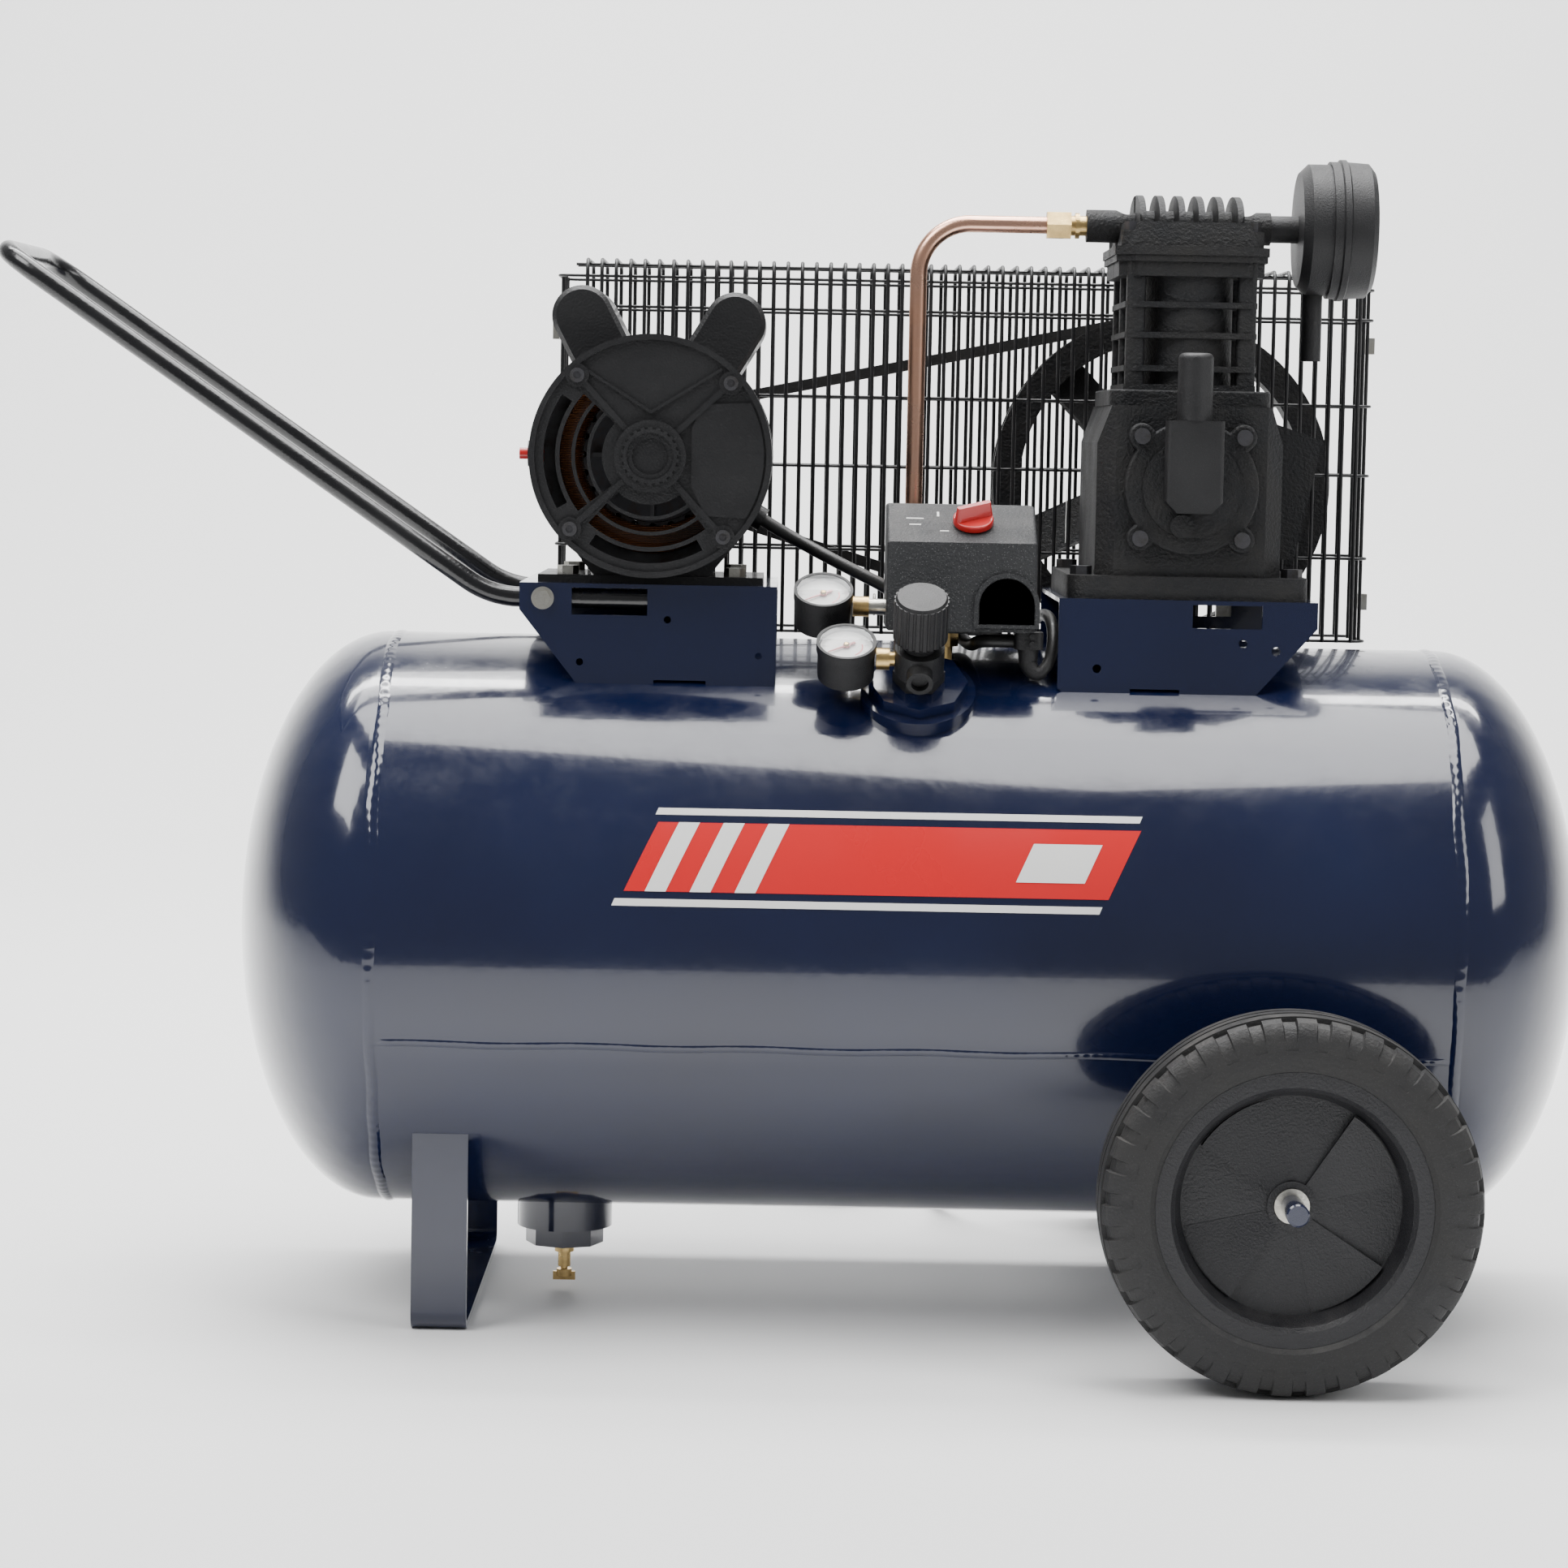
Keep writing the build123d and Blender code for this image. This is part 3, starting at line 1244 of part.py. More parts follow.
# ---- Brass: tube nuts, check valve, gauge fittings, switch riser and drain cock ----
riser_x = (switch_left + switch_right) / 2 - 12
riser_y = -70
drain_cock_top = drain_hex_z
with BuildPart() as brass_fittings:
    with BuildSketch(Plane.YZ.offset(nut_left)):
        with Locations((pump_y, port_z)):
            RegularPolygon(10.5, 6)
    extrude(amount=17)
    rod_x(pump_y, port_z, nut_left + 17, pump_x - outlet_reach, 7)
    rod_x(pump_y, port_z, nut_left + 20, nut_left + 23, 9)
    rod_x(pump_y, port_z, nut_left - 1, pump_x - outlet_reach - 4, tube_radius, Mode.SUBTRACT)
    with BuildSketch(Plane.XY.offset(check_valve_top - 14)):
        with Locations((tube_x, 0)):
            RegularPolygon(10.5, 6)
    extrude(amount=14)
    with BuildSketch(Plane.XY.offset(tank_top)):
        with Locations((tube_x, 0)):
            RegularPolygon(12, 6)
    extrude(amount=check_valve_top - 14 - tank_top)
    rod_z(tube_x, 0, tank_top - 10, tank_top, valve_bore - 0.5)
    rod_z(tube_x, 0, check_valve_top - 24, check_valve_top + 1, tube_radius + 1.5, Mode.SUBTRACT)
    rod_z(riser_x, riser_y, tank_axis_z + tank_radius * 0.8, switch_base_z - 2, 8)
    with BuildSketch(Plane.XY.offset(switch_base_z - 12)):
        with Locations((riser_x, riser_y)):
            RegularPolygon(12, 6)
    extrude(amount=10)
    cut_tank()
    gauge_stem = port_plane.offset(stem_height)
    stem_y = gauge_stem.origin.Y
    stem_z = gauge_stem.origin.Z
    rod_x(stem_y, stem_z, line_gauge_x + gauge_radius, port_x - reg_radius, 5)
    rod_x(stem_y, stem_z, line_gauge_x + gauge_radius, line_gauge_x + gauge_radius + 9, 7.5)
    tank_stem_y = tank_gauge_y + gauge_depth / 2 * tilt_sin
    tank_stem_z = tank_gauge_z - gauge_depth / 2 * tilt_cos
    rod_x(tank_stem_y, tank_stem_z, tank_gauge_x + gauge_radius, tank_gauge_x + gauge_radius + 11, 7)
    rod_z(drain_x, 0, 16, drain_cock_top, 4.5)
    rod_z(drain_x, 0, drain_cock_top, drain_cock_top + 12, drain_bore - 0.5)
    rod_z(drain_x, 0, 27, drain_cock_top, 7)
    rod_z(drain_x, 0, 15, drain_cock_top + 13, 2.5 + running_gap, Mode.SUBTRACT)
finish_piece(brass_fittings, "brass_fittings")

with BuildPart() as drain_screw:
    rod_z(drain_x, 0, 9, drain_cock_top + 6, 2.5)
    rod_z(drain_x, 0, 9, 14, 5.5)
    block(drain_x - 8, drain_x + 8, -1.5, 1.5, 6, 12)
finish_piece(drain_screw, "drain_screw")

# ---- Regulator on the tank port, tilted with it ----
reg_nut_top = 22
reg_body_top = 42
knob_low = 46
knob_top = 84
with BuildPart() as regulator_body:
    with BuildSketch(port_plane.offset(port_top)):
        RegularPolygon(18, 6)
    extrude(amount=reg_nut_top - port_top)
    with BuildSketch(port_plane.offset(reg_nut_top)):
        Circle(reg_radius)
    extrude(amount=reg_body_top - reg_nut_top)
    with BuildSketch(port_plane.offset(reg_body_top)):
        Circle(11)
    extrude(amount=2)
    with BuildSketch(port_plane.offset(reg_body_top + 2)):
        Circle(5)
    extrude(amount=20)
    outlet_mid = port_plane.offset((reg_nut_top + reg_body_top) / 2 - 2)
    outlet_plane = Plane(origin=outlet_mid.origin, x_dir=(1, 0, 0), z_dir=(0, -tilt_cos, -tilt_sin))
    with BuildSketch(outlet_plane):
        Circle(9)
    extrude(amount=reg_radius + 9)
    with BuildSketch(outlet_plane.offset(reg_radius + 4)):
        Circle(6)
    extrude(amount=6, mode=Mode.SUBTRACT)
finish_piece(regulator_body, "regulator_body")

ribs = 24
with BuildPart() as regulator_knob:
    with BuildSketch(port_plane.offset(reg_body_top + 2 + face_gap)):
        Circle(12)
    with BuildSketch(port_plane.offset(knob_low + 5)):
        Circle(reg_knob_radius)
    loft()
    with BuildSketch(port_plane.offset(knob_low + 5)):
        Circle(reg_knob_radius)
        with PolarLocations(reg_knob_radius + 0.4, ribs):
            Circle(1.3, mode=Mode.SUBTRACT)
    extrude(amount=knob_top - knob_low - 7)
    with BuildSketch(port_plane.offset(knob_top - 2)):
        Circle(reg_knob_radius - 1)
    extrude(amount=2, taper=30)
    with BuildSketch(port_plane.offset(reg_body_top + 2)):
        Circle(5 + running_gap)
    extrude(amount=22, mode=Mode.SUBTRACT)
finish_piece(regulator_knob, "regulator_knob")

# ---- Two gauges facing up and forwards, each with its needle ----
needle_zero = 212  # degrees round the face from its right-hand side
gauges = {
    "tank": (tank_gauge_x, tank_gauge_y, tank_gauge_z),
    "line": (line_gauge_x, line_gauge_y, line_gauge_z),
}
with BuildPart() as gauge_cases:
    for spot in gauges.values():
        face = Plane(origin=spot, x_dir=(1, 0, 0), z_dir=(0, -tilt_sin, tilt_cos))
        with BuildSketch(face.offset(-gauge_depth)):
            Circle(gauge_radius - 1)
        extrude(amount=gauge_depth - 4)
        with BuildSketch(face.offset(-7)):
            Circle(gauge_radius)
        extrude(amount=7)
        with BuildSketch(face.offset(-5)):
            Circle(gauge_radius - 2)
        extrude(amount=6, mode=Mode.SUBTRACT)
        with BuildSketch(face.offset(-5)):
            Circle(1)
        extrude(amount=3)
finish_piece(gauge_cases, "gauge_cases")

for name, spot in gauges.items():
    turn = radians(needle_zero)
    along = (cos(turn), sin(turn) * tilt_cos, sin(turn) * tilt_sin)
    needle_plane = Plane(origin=spot, x_dir=along, z_dir=(0, -tilt_sin, tilt_cos))
    with BuildPart() as needle:
        with BuildSketch(needle_plane.offset(-4)):
            with BuildLine():
                Polyline((-7, -1), (-7, 1), (14.8, 0.25), (14.8, -0.25), (-7, -1))
            make_face()
            Circle(2.6)
            Circle(1 + running_gap, mode=Mode.SUBTRACT)
        extrude(amount=0.8)
    finish_piece(needle, f"{name}_needle")

# ---- Safety valve at the back of the gauge fitting, with its pull ring ----
valve_x = tank_gauge_x + gauge_radius + 15.5
valve_back_y = tank_stem_y + 30
with BuildPart() as safety_valve:
    rod_x(tank_stem_y, tank_stem_z, tank_gauge_x + gauge_radius + 11, switch_left + switch_wall + 2, 5.5)
    rod_y(valve_x, tank_stem_z, tank_stem_y, valve_back_y, 4.4)
    with BuildSketch(front_plane(tank_stem_y + 16)):
        with Locations((valve_x, tank_stem_z)):
            RegularPolygon(5.2, 6)
    extrude(amount=7)
    rod_y(valve_x, tank_stem_z, valve_back_y - 16, valve_back_y + 1, 1.5 + running_gap, Mode.SUBTRACT)
finish_piece(safety_valve, "safety_valve")

ring_inner = 6
ring_wire = 0.9
with BuildPart() as safety_ring:
    rod_y(valve_x, tank_stem_z, valve_back_y - 10, valve_back_y + 3, 1.5)
    ring_y = valve_back_y + 3 + ring_inner + ring_wire
    with Locations(Location((valve_x, ring_y, tank_stem_z), (0, 90, 0))):
        Torus(ring_inner + ring_wire, ring_wire)
finish_piece(safety_ring, "safety_ring")

# ---- Pressure switch: base casting, cover with a sloped top, and the on-off knob ----
switch_front_y = -110
switch_back_y = switch_front_y + 77
switch_step_y = switch_front_y + 43
switch_front_z = 545
switch_top_z = 570
with BuildPart() as pressure_switch_base:
    block(
        switch_left + 22,
        switch_right - 22,
        switch_front_y + 14,
        switch_back_y - 12,
        switch_base_z - 2,
        switch_base_z + 16,
    )
    fillet(pressure_switch_base.edges().filter_by(Axis.Z), 6)
    block(
        switch_left + 34,
        switch_right - 34,
        switch_front_y + 26,
        switch_back_y - 18,
        switch_base_z + 16,
        switch_base_z + 44,
    )
finish_piece(pressure_switch_base, "pressure_switch_base")

slope_run = switch_step_y - switch_front_y
slope_rise = switch_top_z - switch_front_z
slope_length = sqrt(slope_run**2 + slope_rise**2)
slope_normal = (0, -slope_rise / slope_length, slope_run / slope_length)
window_x = switch_left + 63.2 + 19.5
knob_spot = (switch_left + 59.3, switch_front_y + slope_run / 2, switch_front_z + slope_rise / 2)
knob_plane = Plane(origin=knob_spot, x_dir=(1, 0, 0), z_dir=slope_normal)
with BuildPart() as pressure_switch_cover:
    with BuildSketch(Plane.YZ.offset(switch_left)):
        with BuildLine():
            Polyline(
                (switch_front_y - 2, switch_base_z),
                (switch_front_y, switch_front_z),
                (switch_step_y, switch_top_z),
                (switch_back_y, switch_top_z),
                (switch_back_y, switch_base_z),
                close=True,
            )
        make_face()
    extrude(amount=switch_right - switch_left)
    fillet(pressure_switch_cover.edges().filter_by(Axis.X).group_by(Axis.Z)[-1], 3)
    fillet(pressure_switch_cover.faces().sort_by(Axis.X)[0].edges(), 2.5)
    fillet(pressure_switch_cover.faces().sort_by(Axis.X)[-1].edges(), 2.5)
    with BuildSketch(front_plane(switch_front_y + 8)):
        with BuildLine():
            arch = CenterArc((window_x, switch_base_z + 18), 22.5, 0, 180)
            Polyline(
                arch @ 0,
                (window_x + 22.5, switch_base_z + 3),
                (window_x - 22.5, switch_base_z + 3),
                arch @ 1,
            )
        make_face()
    extrude(amount=12)
    with BuildSketch(Plane.YZ.offset(switch_left + switch_wall)):
        with BuildLine():
            Polyline(
                (switch_front_y - 2 + switch_wall, switch_base_z - 1),
                (switch_front_y + switch_wall, switch_front_z - switch_wall),
                (switch_step_y, switch_top_z - switch_wall - 0.5),
                (switch_back_y - switch_wall, switch_top_z - switch_wall - 0.5),
                (switch_back_y - switch_wall, switch_base_z - 1),
                close=True,
            )
        make_face()
    extrude(amount=switch_right - switch_left - 2 * switch_wall, mode=Mode.SUBTRACT)
    with BuildSketch(front_plane(switch_front_y - 3)):
        with BuildLine():
            arch = CenterArc((window_x, switch_base_z + 18), 19.5, 0, 180)
            Polyline(
                arch @ 0,
                (window_x + 19.5, switch_base_z + 5),
                (window_x - 19.5, switch_base_z + 5),
                arch @ 1,
            )
        make_face()
    extrude(amount=2, mode=Mode.SUBTRACT)
    rod_x(tank_stem_y, tank_stem_z, switch_left - 1, switch_left + switch_wall + 1, 5.6, Mode.SUBTRACT)
    with BuildSketch(knob_plane.offset(-6)):
        Circle(4 + running_gap)
    extrude(amount=10, mode=Mode.SUBTRACT)
finish_piece(pressure_switch_cover, "pressure_switch_cover")

with BuildPart() as switch_knob:
    with BuildSketch(knob_plane.offset(face_gap)):
        Circle(14)
    extrude(amount=5)
    fillet(switch_knob.edges().filter_by(GeomType.CIRCLE), 1.2)
    with BuildSketch(knob_plane.offset(face_gap + 3)):
        with Locations(Location((0, 0), 25)):
            RectangleRounded(29, 8, 3.5)
    extrude(amount=12, taper=10)
    with BuildSketch(knob_plane.offset(-9)):
        Circle(4)
    extrude(amount=9 + face_gap + 1)
finish_piece(switch_knob, "switch_knob")

# ---- Cable clamp under the switch with the mains cord's boot ----
clamp_x = switch_right - 6
clamp_y = -90
with BuildPart() as cord_clamp:
    block(clamp_x - 8, clamp_x + 12, clamp_y - 12, clamp_y + 14, switch_base_z - 12, switch_base_z - 0.2)
    fillet(cord_clamp.edges().filter_by(Axis.Z), 4)
    for dz in (4, 9):
        rod_y(clamp_x + 4, switch_base_z - dz + 1, clamp_y - 15, clamp_y - 12, 2)
finish_piece(cord_clamp, "cord_clamp")

# ---- Motor lead, from the motor round the back of the switch into the clamp ----
lead_start = gland_plane.offset(motor_radius + 6.02).origin
lead_turn = gland_plane.offset(motor_radius + 30).origin
lead_points = (
    (lead_start.X, lead_start.Y, lead_start.Z),
    (lead_turn.X, lead_turn.Y, lead_turn.Z),
    (motor_x + 130, -14, 527),
    (motor_x + 164, -22, 511),
    (switch_left + 26, -22, 495),
    (switch_left + 54, -30, 477),
    (clamp_x - 36, -60, 472),
    (clamp_x - 32, clamp_y + 1, 477),
    (clamp_x - 8.02, clamp_y + 1, 477),
)


def corner_radius(before, point, after):
    # The largest arc that uses nine tenths of the shorter run, shared by its two corners.
    a = Vector(*point) - Vector(*before)
    b = Vector(*after) - Vector(*point)
    half_turn = radians(a.get_angle(b)) / 2
    return 0.45 * min(a.length, b.length) * cos(half_turn) / sin(half_turn)


def tube_path(points):
    radii = [corner_radius(*points[k - 1 : k + 2]) for k in range(1, len(points) - 1)]
    print("cord radii", [round(r, 1) for r in radii])
    return radii


with BuildPart() as motor_lead:
    with BuildLine() as lead_line:
        FilletPolyline(*lead_points, radius=tube_path(lead_points))
    with BuildSketch(Plane(origin=lead_line.line @ 0, z_dir=lead_line.line % 0)):
        Circle(lead_radius)
    sweep()
finish_piece(motor_lead, "motor_lead")

# ---- Belt guard: two wire trays, front and back, clipped together half way ----
slit = 0.02  # parts each bent wire at its bend, which keeps the inside of the trays open
rib_count = int((guard_right - guard_left) / wire_pitch) - 1
first_rib = guard_left + 2 * wire_pitch
corner = 9
tray_gap = 0.4
cross_touch = wire + cross_wire + 0.02
for end, panel_y, inwards in (("front", guard_front_y, 1), ("back", guard_back_y, -1)):
    rim_y = guard_mid_y - inwards * tray_gap
    with BuildPart() as rib:
        with BuildLine() as rib_line:
            FilletPolyline(
                (0, panel_y, guard_bottom), (0, panel_y, guard_top), (0, rim_y, guard_top), radius=corner
            )
        with BuildSketch(Plane(origin=rib_line.line @ 0, z_dir=rib_line.line % 0)):
            Circle(wire)
        sweep()
    with BuildPart() as crossing:
        cross_y = panel_y + inwards * cross_touch
        with BuildLine() as crossing_line:
            FilletPolyline(
                (guard_left, rim_y, 0),
                (guard_left, cross_y, 0),
                (guard_right, cross_y, 0),
                (guard_right, rim_y, 0),
                radius=corner,
            )
        with BuildSketch(Plane(origin=crossing_line.line @ 0, z_dir=crossing_line.line % 0)):
            Circle(cross_wire)
        sweep()
    with BuildPart() as tray:
        with Locations(*[(first_rib + wire_pitch * k, 0, 0) for k in range(rib_count - 1)]):
            add(rib.part)
        with Locations(*[(0, 0, z) for z in crossings]):
            add(crossing.part)
        for side_x, inside in ((guard_left, 1), (guard_right, -1)):
            for post_y in (panel_y + inwards * 16, rim_y - inwards * 8):
                rod_z(side_x + inside * cross_touch, post_y, guard_bottom, guard_top - corner - 2, wire)
        top_y = rim_y - inwards * 12
        rod_x(top_y, guard_top - cross_touch, guard_left + corner + 2, guard_right - corner - 2, cross_wire)
        if end == "front":
            rod_y(pump_x, pump_z, panel_y - 5, rim_y, wheel_hub + 4, Mode.SUBTRACT)
            rod_y(motor_x, motor_z, panel_y - 5, rim_y, shaft_radius + 5, Mode.SUBTRACT)
        slit_z = guard_top - corner - 1
        block(
            guard_left - 9,
            guard_right + 9,
            guard_front_y - 9,
            guard_back_y + 9,
            slit_z,
            slit_z + slit,
            Mode.SUBTRACT,
        )
        for slit_x in (guard_left + corner + 1, guard_right - corner - 1):
            block(
                slit_x, slit_x + slit, guard_front_y - 9, guard_back_y + 9, 0, guard_top + 9, Mode.SUBTRACT
            )
    finish_piece(tray, f"guard_{end}")

# ---- Fasteners of the frame: saddle and handle bolts, guard clips, and the wheels' push nuts ----
clip_size = 5
with BuildPart() as frame_bolts:
    for side in (-1, 1):
        plate = side * saddle_depth / 2
        head = sorted((plate, plate + side * 5))
        washer = sorted((plate, plate + side * 1.5))
        shank = sorted((plate, side * (arm_y - handle_tube - 1)))
        rod_y(handle_bolt_x, handle_z, *shank, bolt_radius)
        rod_y(handle_bolt_x, handle_z, *washer, 7.8)
        with BuildSketch(Plane(origin=(0, head[0], 0), x_dir=(1, 0, 0), z_dir=(0, -1, 0))):
            with Locations((handle_bolt_x, handle_z)):
                RegularPolygon(6, 6)
        extrude(amount=-5)
        nut = sorted(
            (side * (wheel_mid_y + hub_face + 0.3), side * (wheel_mid_y + hub_face + 0.3 + nut_thickness))
        )
        rod_y(wheel_x, wheel_z, *nut, 11.5)
    for dx in (-motor_bolt_dx, motor_bolt_dx):
        for bolt_y in motor_bolt_y:
            rod_z(
                motor_x + dx, bolt_y, motor_saddle_top - sheet, motor_saddle_top + cradle_plate, bolt_radius
            )
            with BuildSketch(Plane.XY.offset(motor_saddle_top + cradle_plate)):
                with Locations((motor_x + dx, bolt_y)):
                    RegularPolygon(7.5, 6)
            extrude(amount=6)
    for side in (-1, 1):
        rod_y(wheel_x, wheel_z, *sorted((0, side * axle_end_y)), axle_radius, Mode.SUBTRACT)
    for clip_z in (500, 690):
        for side_x, outwards in ((guard_left, -1), (guard_right, 1)):
            near = side_x + outwards * (cross_wire + 0.02)
            span = sorted((near, near + outwards * clip_size))
            block(*span, guard_mid_y - 8, guard_mid_y + 8, clip_z - 6, clip_z + 6)
    guard_foot_y = guard_front_y - wire - 0.02
    for clip_x in (
        motor_saddle_left + 40, motor_saddle_right - 30, pump_saddle_left + 40, pump_saddle_right - 40
    ):
        block(clip_x - 9, clip_x + 9, saddle_depth / 2, guard_foot_y, 484, 500)
finish_piece(frame_bolts, "frame_bolts")

# ---- Mains cord: over the tank's back, down to the floor, a put-away coil and the plug ----
cord_points = (
    (clamp_x + 2, -94, switch_base_z - 12.02),
    (clamp_x + 2, -94, 461),
    (clamp_x + 8, -97, 454),
    (clamp_x + 17, -96, 462),
    (clamp_x + 20, -88, 480),
    (clamp_x + 19, -66, 493),
    (clamp_x + 15, -28, 494),
    (clamp_x + 12, 26, 487),
    (clamp_x + 12, 84, 466),
    (clamp_x + 8, 140, 433),
    (clamp_x + 4, 186, 386),
    (clamp_x, 214, 324),
    (clamp_x - 6, 226, 254),
    (clamp_x - 14, 229, 180),
    (clamp_x - 20, 236, 110),
    (clamp_x - 24, 262, 54),
    (clamp_x - 30, 304, 18),
    (clamp_x - 44, 374, cord_radius),
    (clamp_x - 68, 416, cord_radius),
)


with BuildPart() as power_cord:
    with BuildLine() as cord_line:
        FilletPolyline(*cord_points, radius=tube_path(cord_points))
    with BuildSketch(Plane(origin=cord_line.line @ 0, z_dir=cord_line.line % 0)):
        Circle(cord_radius)
    sweep()
print("cord tube", round(sum(e.length for e in cord_line.line.edges())), "mm")
finish_piece(power_cord, "power_cord")

coil_middle = 94  # across the middle of the turns
coil_height = 4 * cord_radius
coil_side = coil_middle / 2 + 3 * cord_radius + 0.05  # the tube's end lies against the turns
coil_x = clamp_x - 68 - coil_side * 42 / hypot(42, 24)
coil_y = 416 - coil_side * 24 / hypot(42, 24)
with BuildPart() as cord_coil:
    rod_z(coil_x, coil_y, 0, coil_height, coil_middle / 2 + 2 * cord_radius)
    rod_z(coil_x, coil_y, 0, coil_height, coil_middle / 2 - 2 * cord_radius, Mode.SUBTRACT)
    fillet(cord_coil.edges().filter_by(GeomType.CIRCLE), 3)
finish_piece(cord_coil, "cord_coil")

# ---- Plug: a plain three-pin straight-blade mains plug, lying beside the coil ----
plug_x = coil_x - coil_middle / 2 - 34
plug_y = coil_y - 6
plug_half = 14
with BuildPart() as plug:
    with BuildSketch(front_plane(plug_y + 30)):
        with Locations((plug_x, plug_half)):
            RectangleRounded(2 * plug_half + 4, 2 * plug_half, 8)
    extrude(amount=42)
    fillet(plug.edges().group_by(Axis.Y)[0], 2)
    for dx in (-6.35, 6.35):
        block(plug_x + dx - 0.8, plug_x + dx + 0.8, plug_y - 28, plug_y - 12, plug_half, plug_half + 6.4)
    rod_y(plug_x, plug_half - 8, plug_y - 31, plug_y - 12, 2.4)
finish_piece(plug, "plug")
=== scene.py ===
import math

import bpy
from mathutils import Matrix, Vector


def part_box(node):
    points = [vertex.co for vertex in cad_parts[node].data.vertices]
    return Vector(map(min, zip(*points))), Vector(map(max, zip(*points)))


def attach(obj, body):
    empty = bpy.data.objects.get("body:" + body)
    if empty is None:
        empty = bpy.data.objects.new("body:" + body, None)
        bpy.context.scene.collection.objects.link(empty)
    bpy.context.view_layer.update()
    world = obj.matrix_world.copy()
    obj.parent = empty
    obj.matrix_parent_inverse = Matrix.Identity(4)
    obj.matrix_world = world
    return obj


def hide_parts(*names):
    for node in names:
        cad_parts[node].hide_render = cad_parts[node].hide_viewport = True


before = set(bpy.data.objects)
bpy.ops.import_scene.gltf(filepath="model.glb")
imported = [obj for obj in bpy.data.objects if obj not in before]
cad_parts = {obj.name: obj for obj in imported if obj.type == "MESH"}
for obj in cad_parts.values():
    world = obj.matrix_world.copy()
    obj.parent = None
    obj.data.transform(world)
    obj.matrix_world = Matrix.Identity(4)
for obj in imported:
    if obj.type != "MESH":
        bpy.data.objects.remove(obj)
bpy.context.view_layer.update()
print("stage: frame loaded")


class Sock:
    def __init__(self, look, out):
        self.look, self.out = look, out

    def _calc(self, kind, first, second):
        return self.look.node("ShaderNodeMath", {"operation": kind}, {0: first, 1: second})

    def __add__(self, other):
        return self._calc("ADD", self, other)

    def __radd__(self, other):
        return self._calc("ADD", other, self)

    def __sub__(self, other):
        return self._calc("SUBTRACT", self, other)

    def __rsub__(self, other):
        return self._calc("SUBTRACT", other, self)

    def __mul__(self, other):
        return self._calc("MULTIPLY", self, other)

    def __rmul__(self, other):
        return self._calc("MULTIPLY", other, self)

    def __truediv__(self, other):
        return self._calc("DIVIDE", self, other)

    def __rtruediv__(self, other):
        return self._calc("DIVIDE", other, self)

    def __pow__(self, other):
        return self._calc("POWER", self, other)


class Look:
    """One procedural material and its node tree."""

    def __init__(self, name):
        self.material = bpy.data.materials.new(name)
        self.material.use_nodes = True
        self.tree = self.material.node_tree
        self.shader = next(n for n in self.tree.nodes if n.type == "BSDF_PRINCIPLED")

    def node(self, kind, settings=None, sockets=None, out=0):
        made = self.tree.nodes.new(kind)
        for name, value in (settings or {}).items():
            setattr(made, name, value)
        for name, value in (sockets or {}).items():
            self.feed(made.inputs[name], value)
        return Sock(self, made.outputs[out])

    def feed(self, socket, value):
        if isinstance(value, Sock):
            self.tree.links.new(value.out, socket)
        else:
            socket.default_value = value

    def place(self, stretch=(1, 1, 1)):
        spot = self.node("ShaderNodeTexCoord", out=3)
        if stretch == (1, 1, 1):
            return spot
        return self.node("ShaderNodeMapping", None, {"Vector": spot, "Scale": stretch})

    def noise(self, scale, detail=3, rough=0.5, stretch=(1, 1, 1)):
        sockets = {"Vector": self.place(stretch), "Scale": scale, "Detail": detail, "Roughness": rough}
        return self.node("ShaderNodeTexNoise", None, sockets)

    def cells(self, scale, feature="F1", stretch=(1, 1, 1)):
        sockets = {"Vector": self.place(stretch), "Scale": scale}
        return self.node("ShaderNodeTexVoronoi", {"feature": feature}, sockets)

    def bands(self, scale, direction="X", warp=0.0):
        sockets = {"Vector": self.place(), "Scale": scale, "Distortion": warp}
        settings = {"wave_type": "BANDS", "bands_direction": direction}
        return self.node("ShaderNodeTexWave", settings, sockets, out=1)

    def span(self, value, low, high, to=(0.0, 1.0)):
        sockets = {"Value": value, "From Min": low, "From Max": high, "To Min": to[0], "To Max": to[1]}
        return self.node("ShaderNodeMapRange", None, sockets)

    def blend(self, share, first, second):
        sockets = {"Factor": share, 6: (*first, 1) if isinstance(first, tuple) else first,
                   7: (*second, 1) if isinstance(second, tuple) else second}
        return self.node("ShaderNodeMix", {"data_type": "RGBA"}, sockets, out=2)

    def facing_up(self):
        normal = self.node("ShaderNodeNewGeometry", out=1)
        return self.node("ShaderNodeSeparateXYZ", None, {0: normal}, out=2)

    def height(self):
        return self.node("ShaderNodeSeparateXYZ", None, {0: self.place()}, out=2)

    def bump(self, height, distance, strength=1.0):
        sockets = {"Height": height, "Distance": distance, "Strength": strength}
        self.feed(self.shader.inputs["Normal"], self.node("ShaderNodeBump", None, sockets))

    def finish(self, **values):
        for name, value in values.items():
            socket = self.shader.inputs[name.replace("_", " ")]
            self.feed(socket, (*value, 1) if isinstance(value, tuple) and len(value) == 3 else value)
        return self.material


def painted(name, options):
    look = Look(name)
    cloud = look.noise(options["cloudScale"], 4)
    colour = look.blend(look.span(cloud, 0.35, 0.7), options["colour"], options["shade"])
    dust = look.span(look.facing_up(), 0.2, 1.0) * look.span(look.noise(38, 6, 0.7), 0.45, 0.8)
    colour = look.blend(dust * options["dust"], colour, (0.35, 0.32, 0.28))
    smear = look.noise(7, 5, 0.65, (1, 1, 3))
    look.bump(look.noise(options["peelScale"], 2, 0.4), options["peelDepth"])
    rough = look.span(smear, 0.3, 0.75, (options["roughness"], options["roughness"] + options["smear"]))
    return look.finish(Base_Color=colour, Roughness=rough + dust * 0.2, Coat_Weight=options["coat"],
                       Coat_Roughness=0.06)


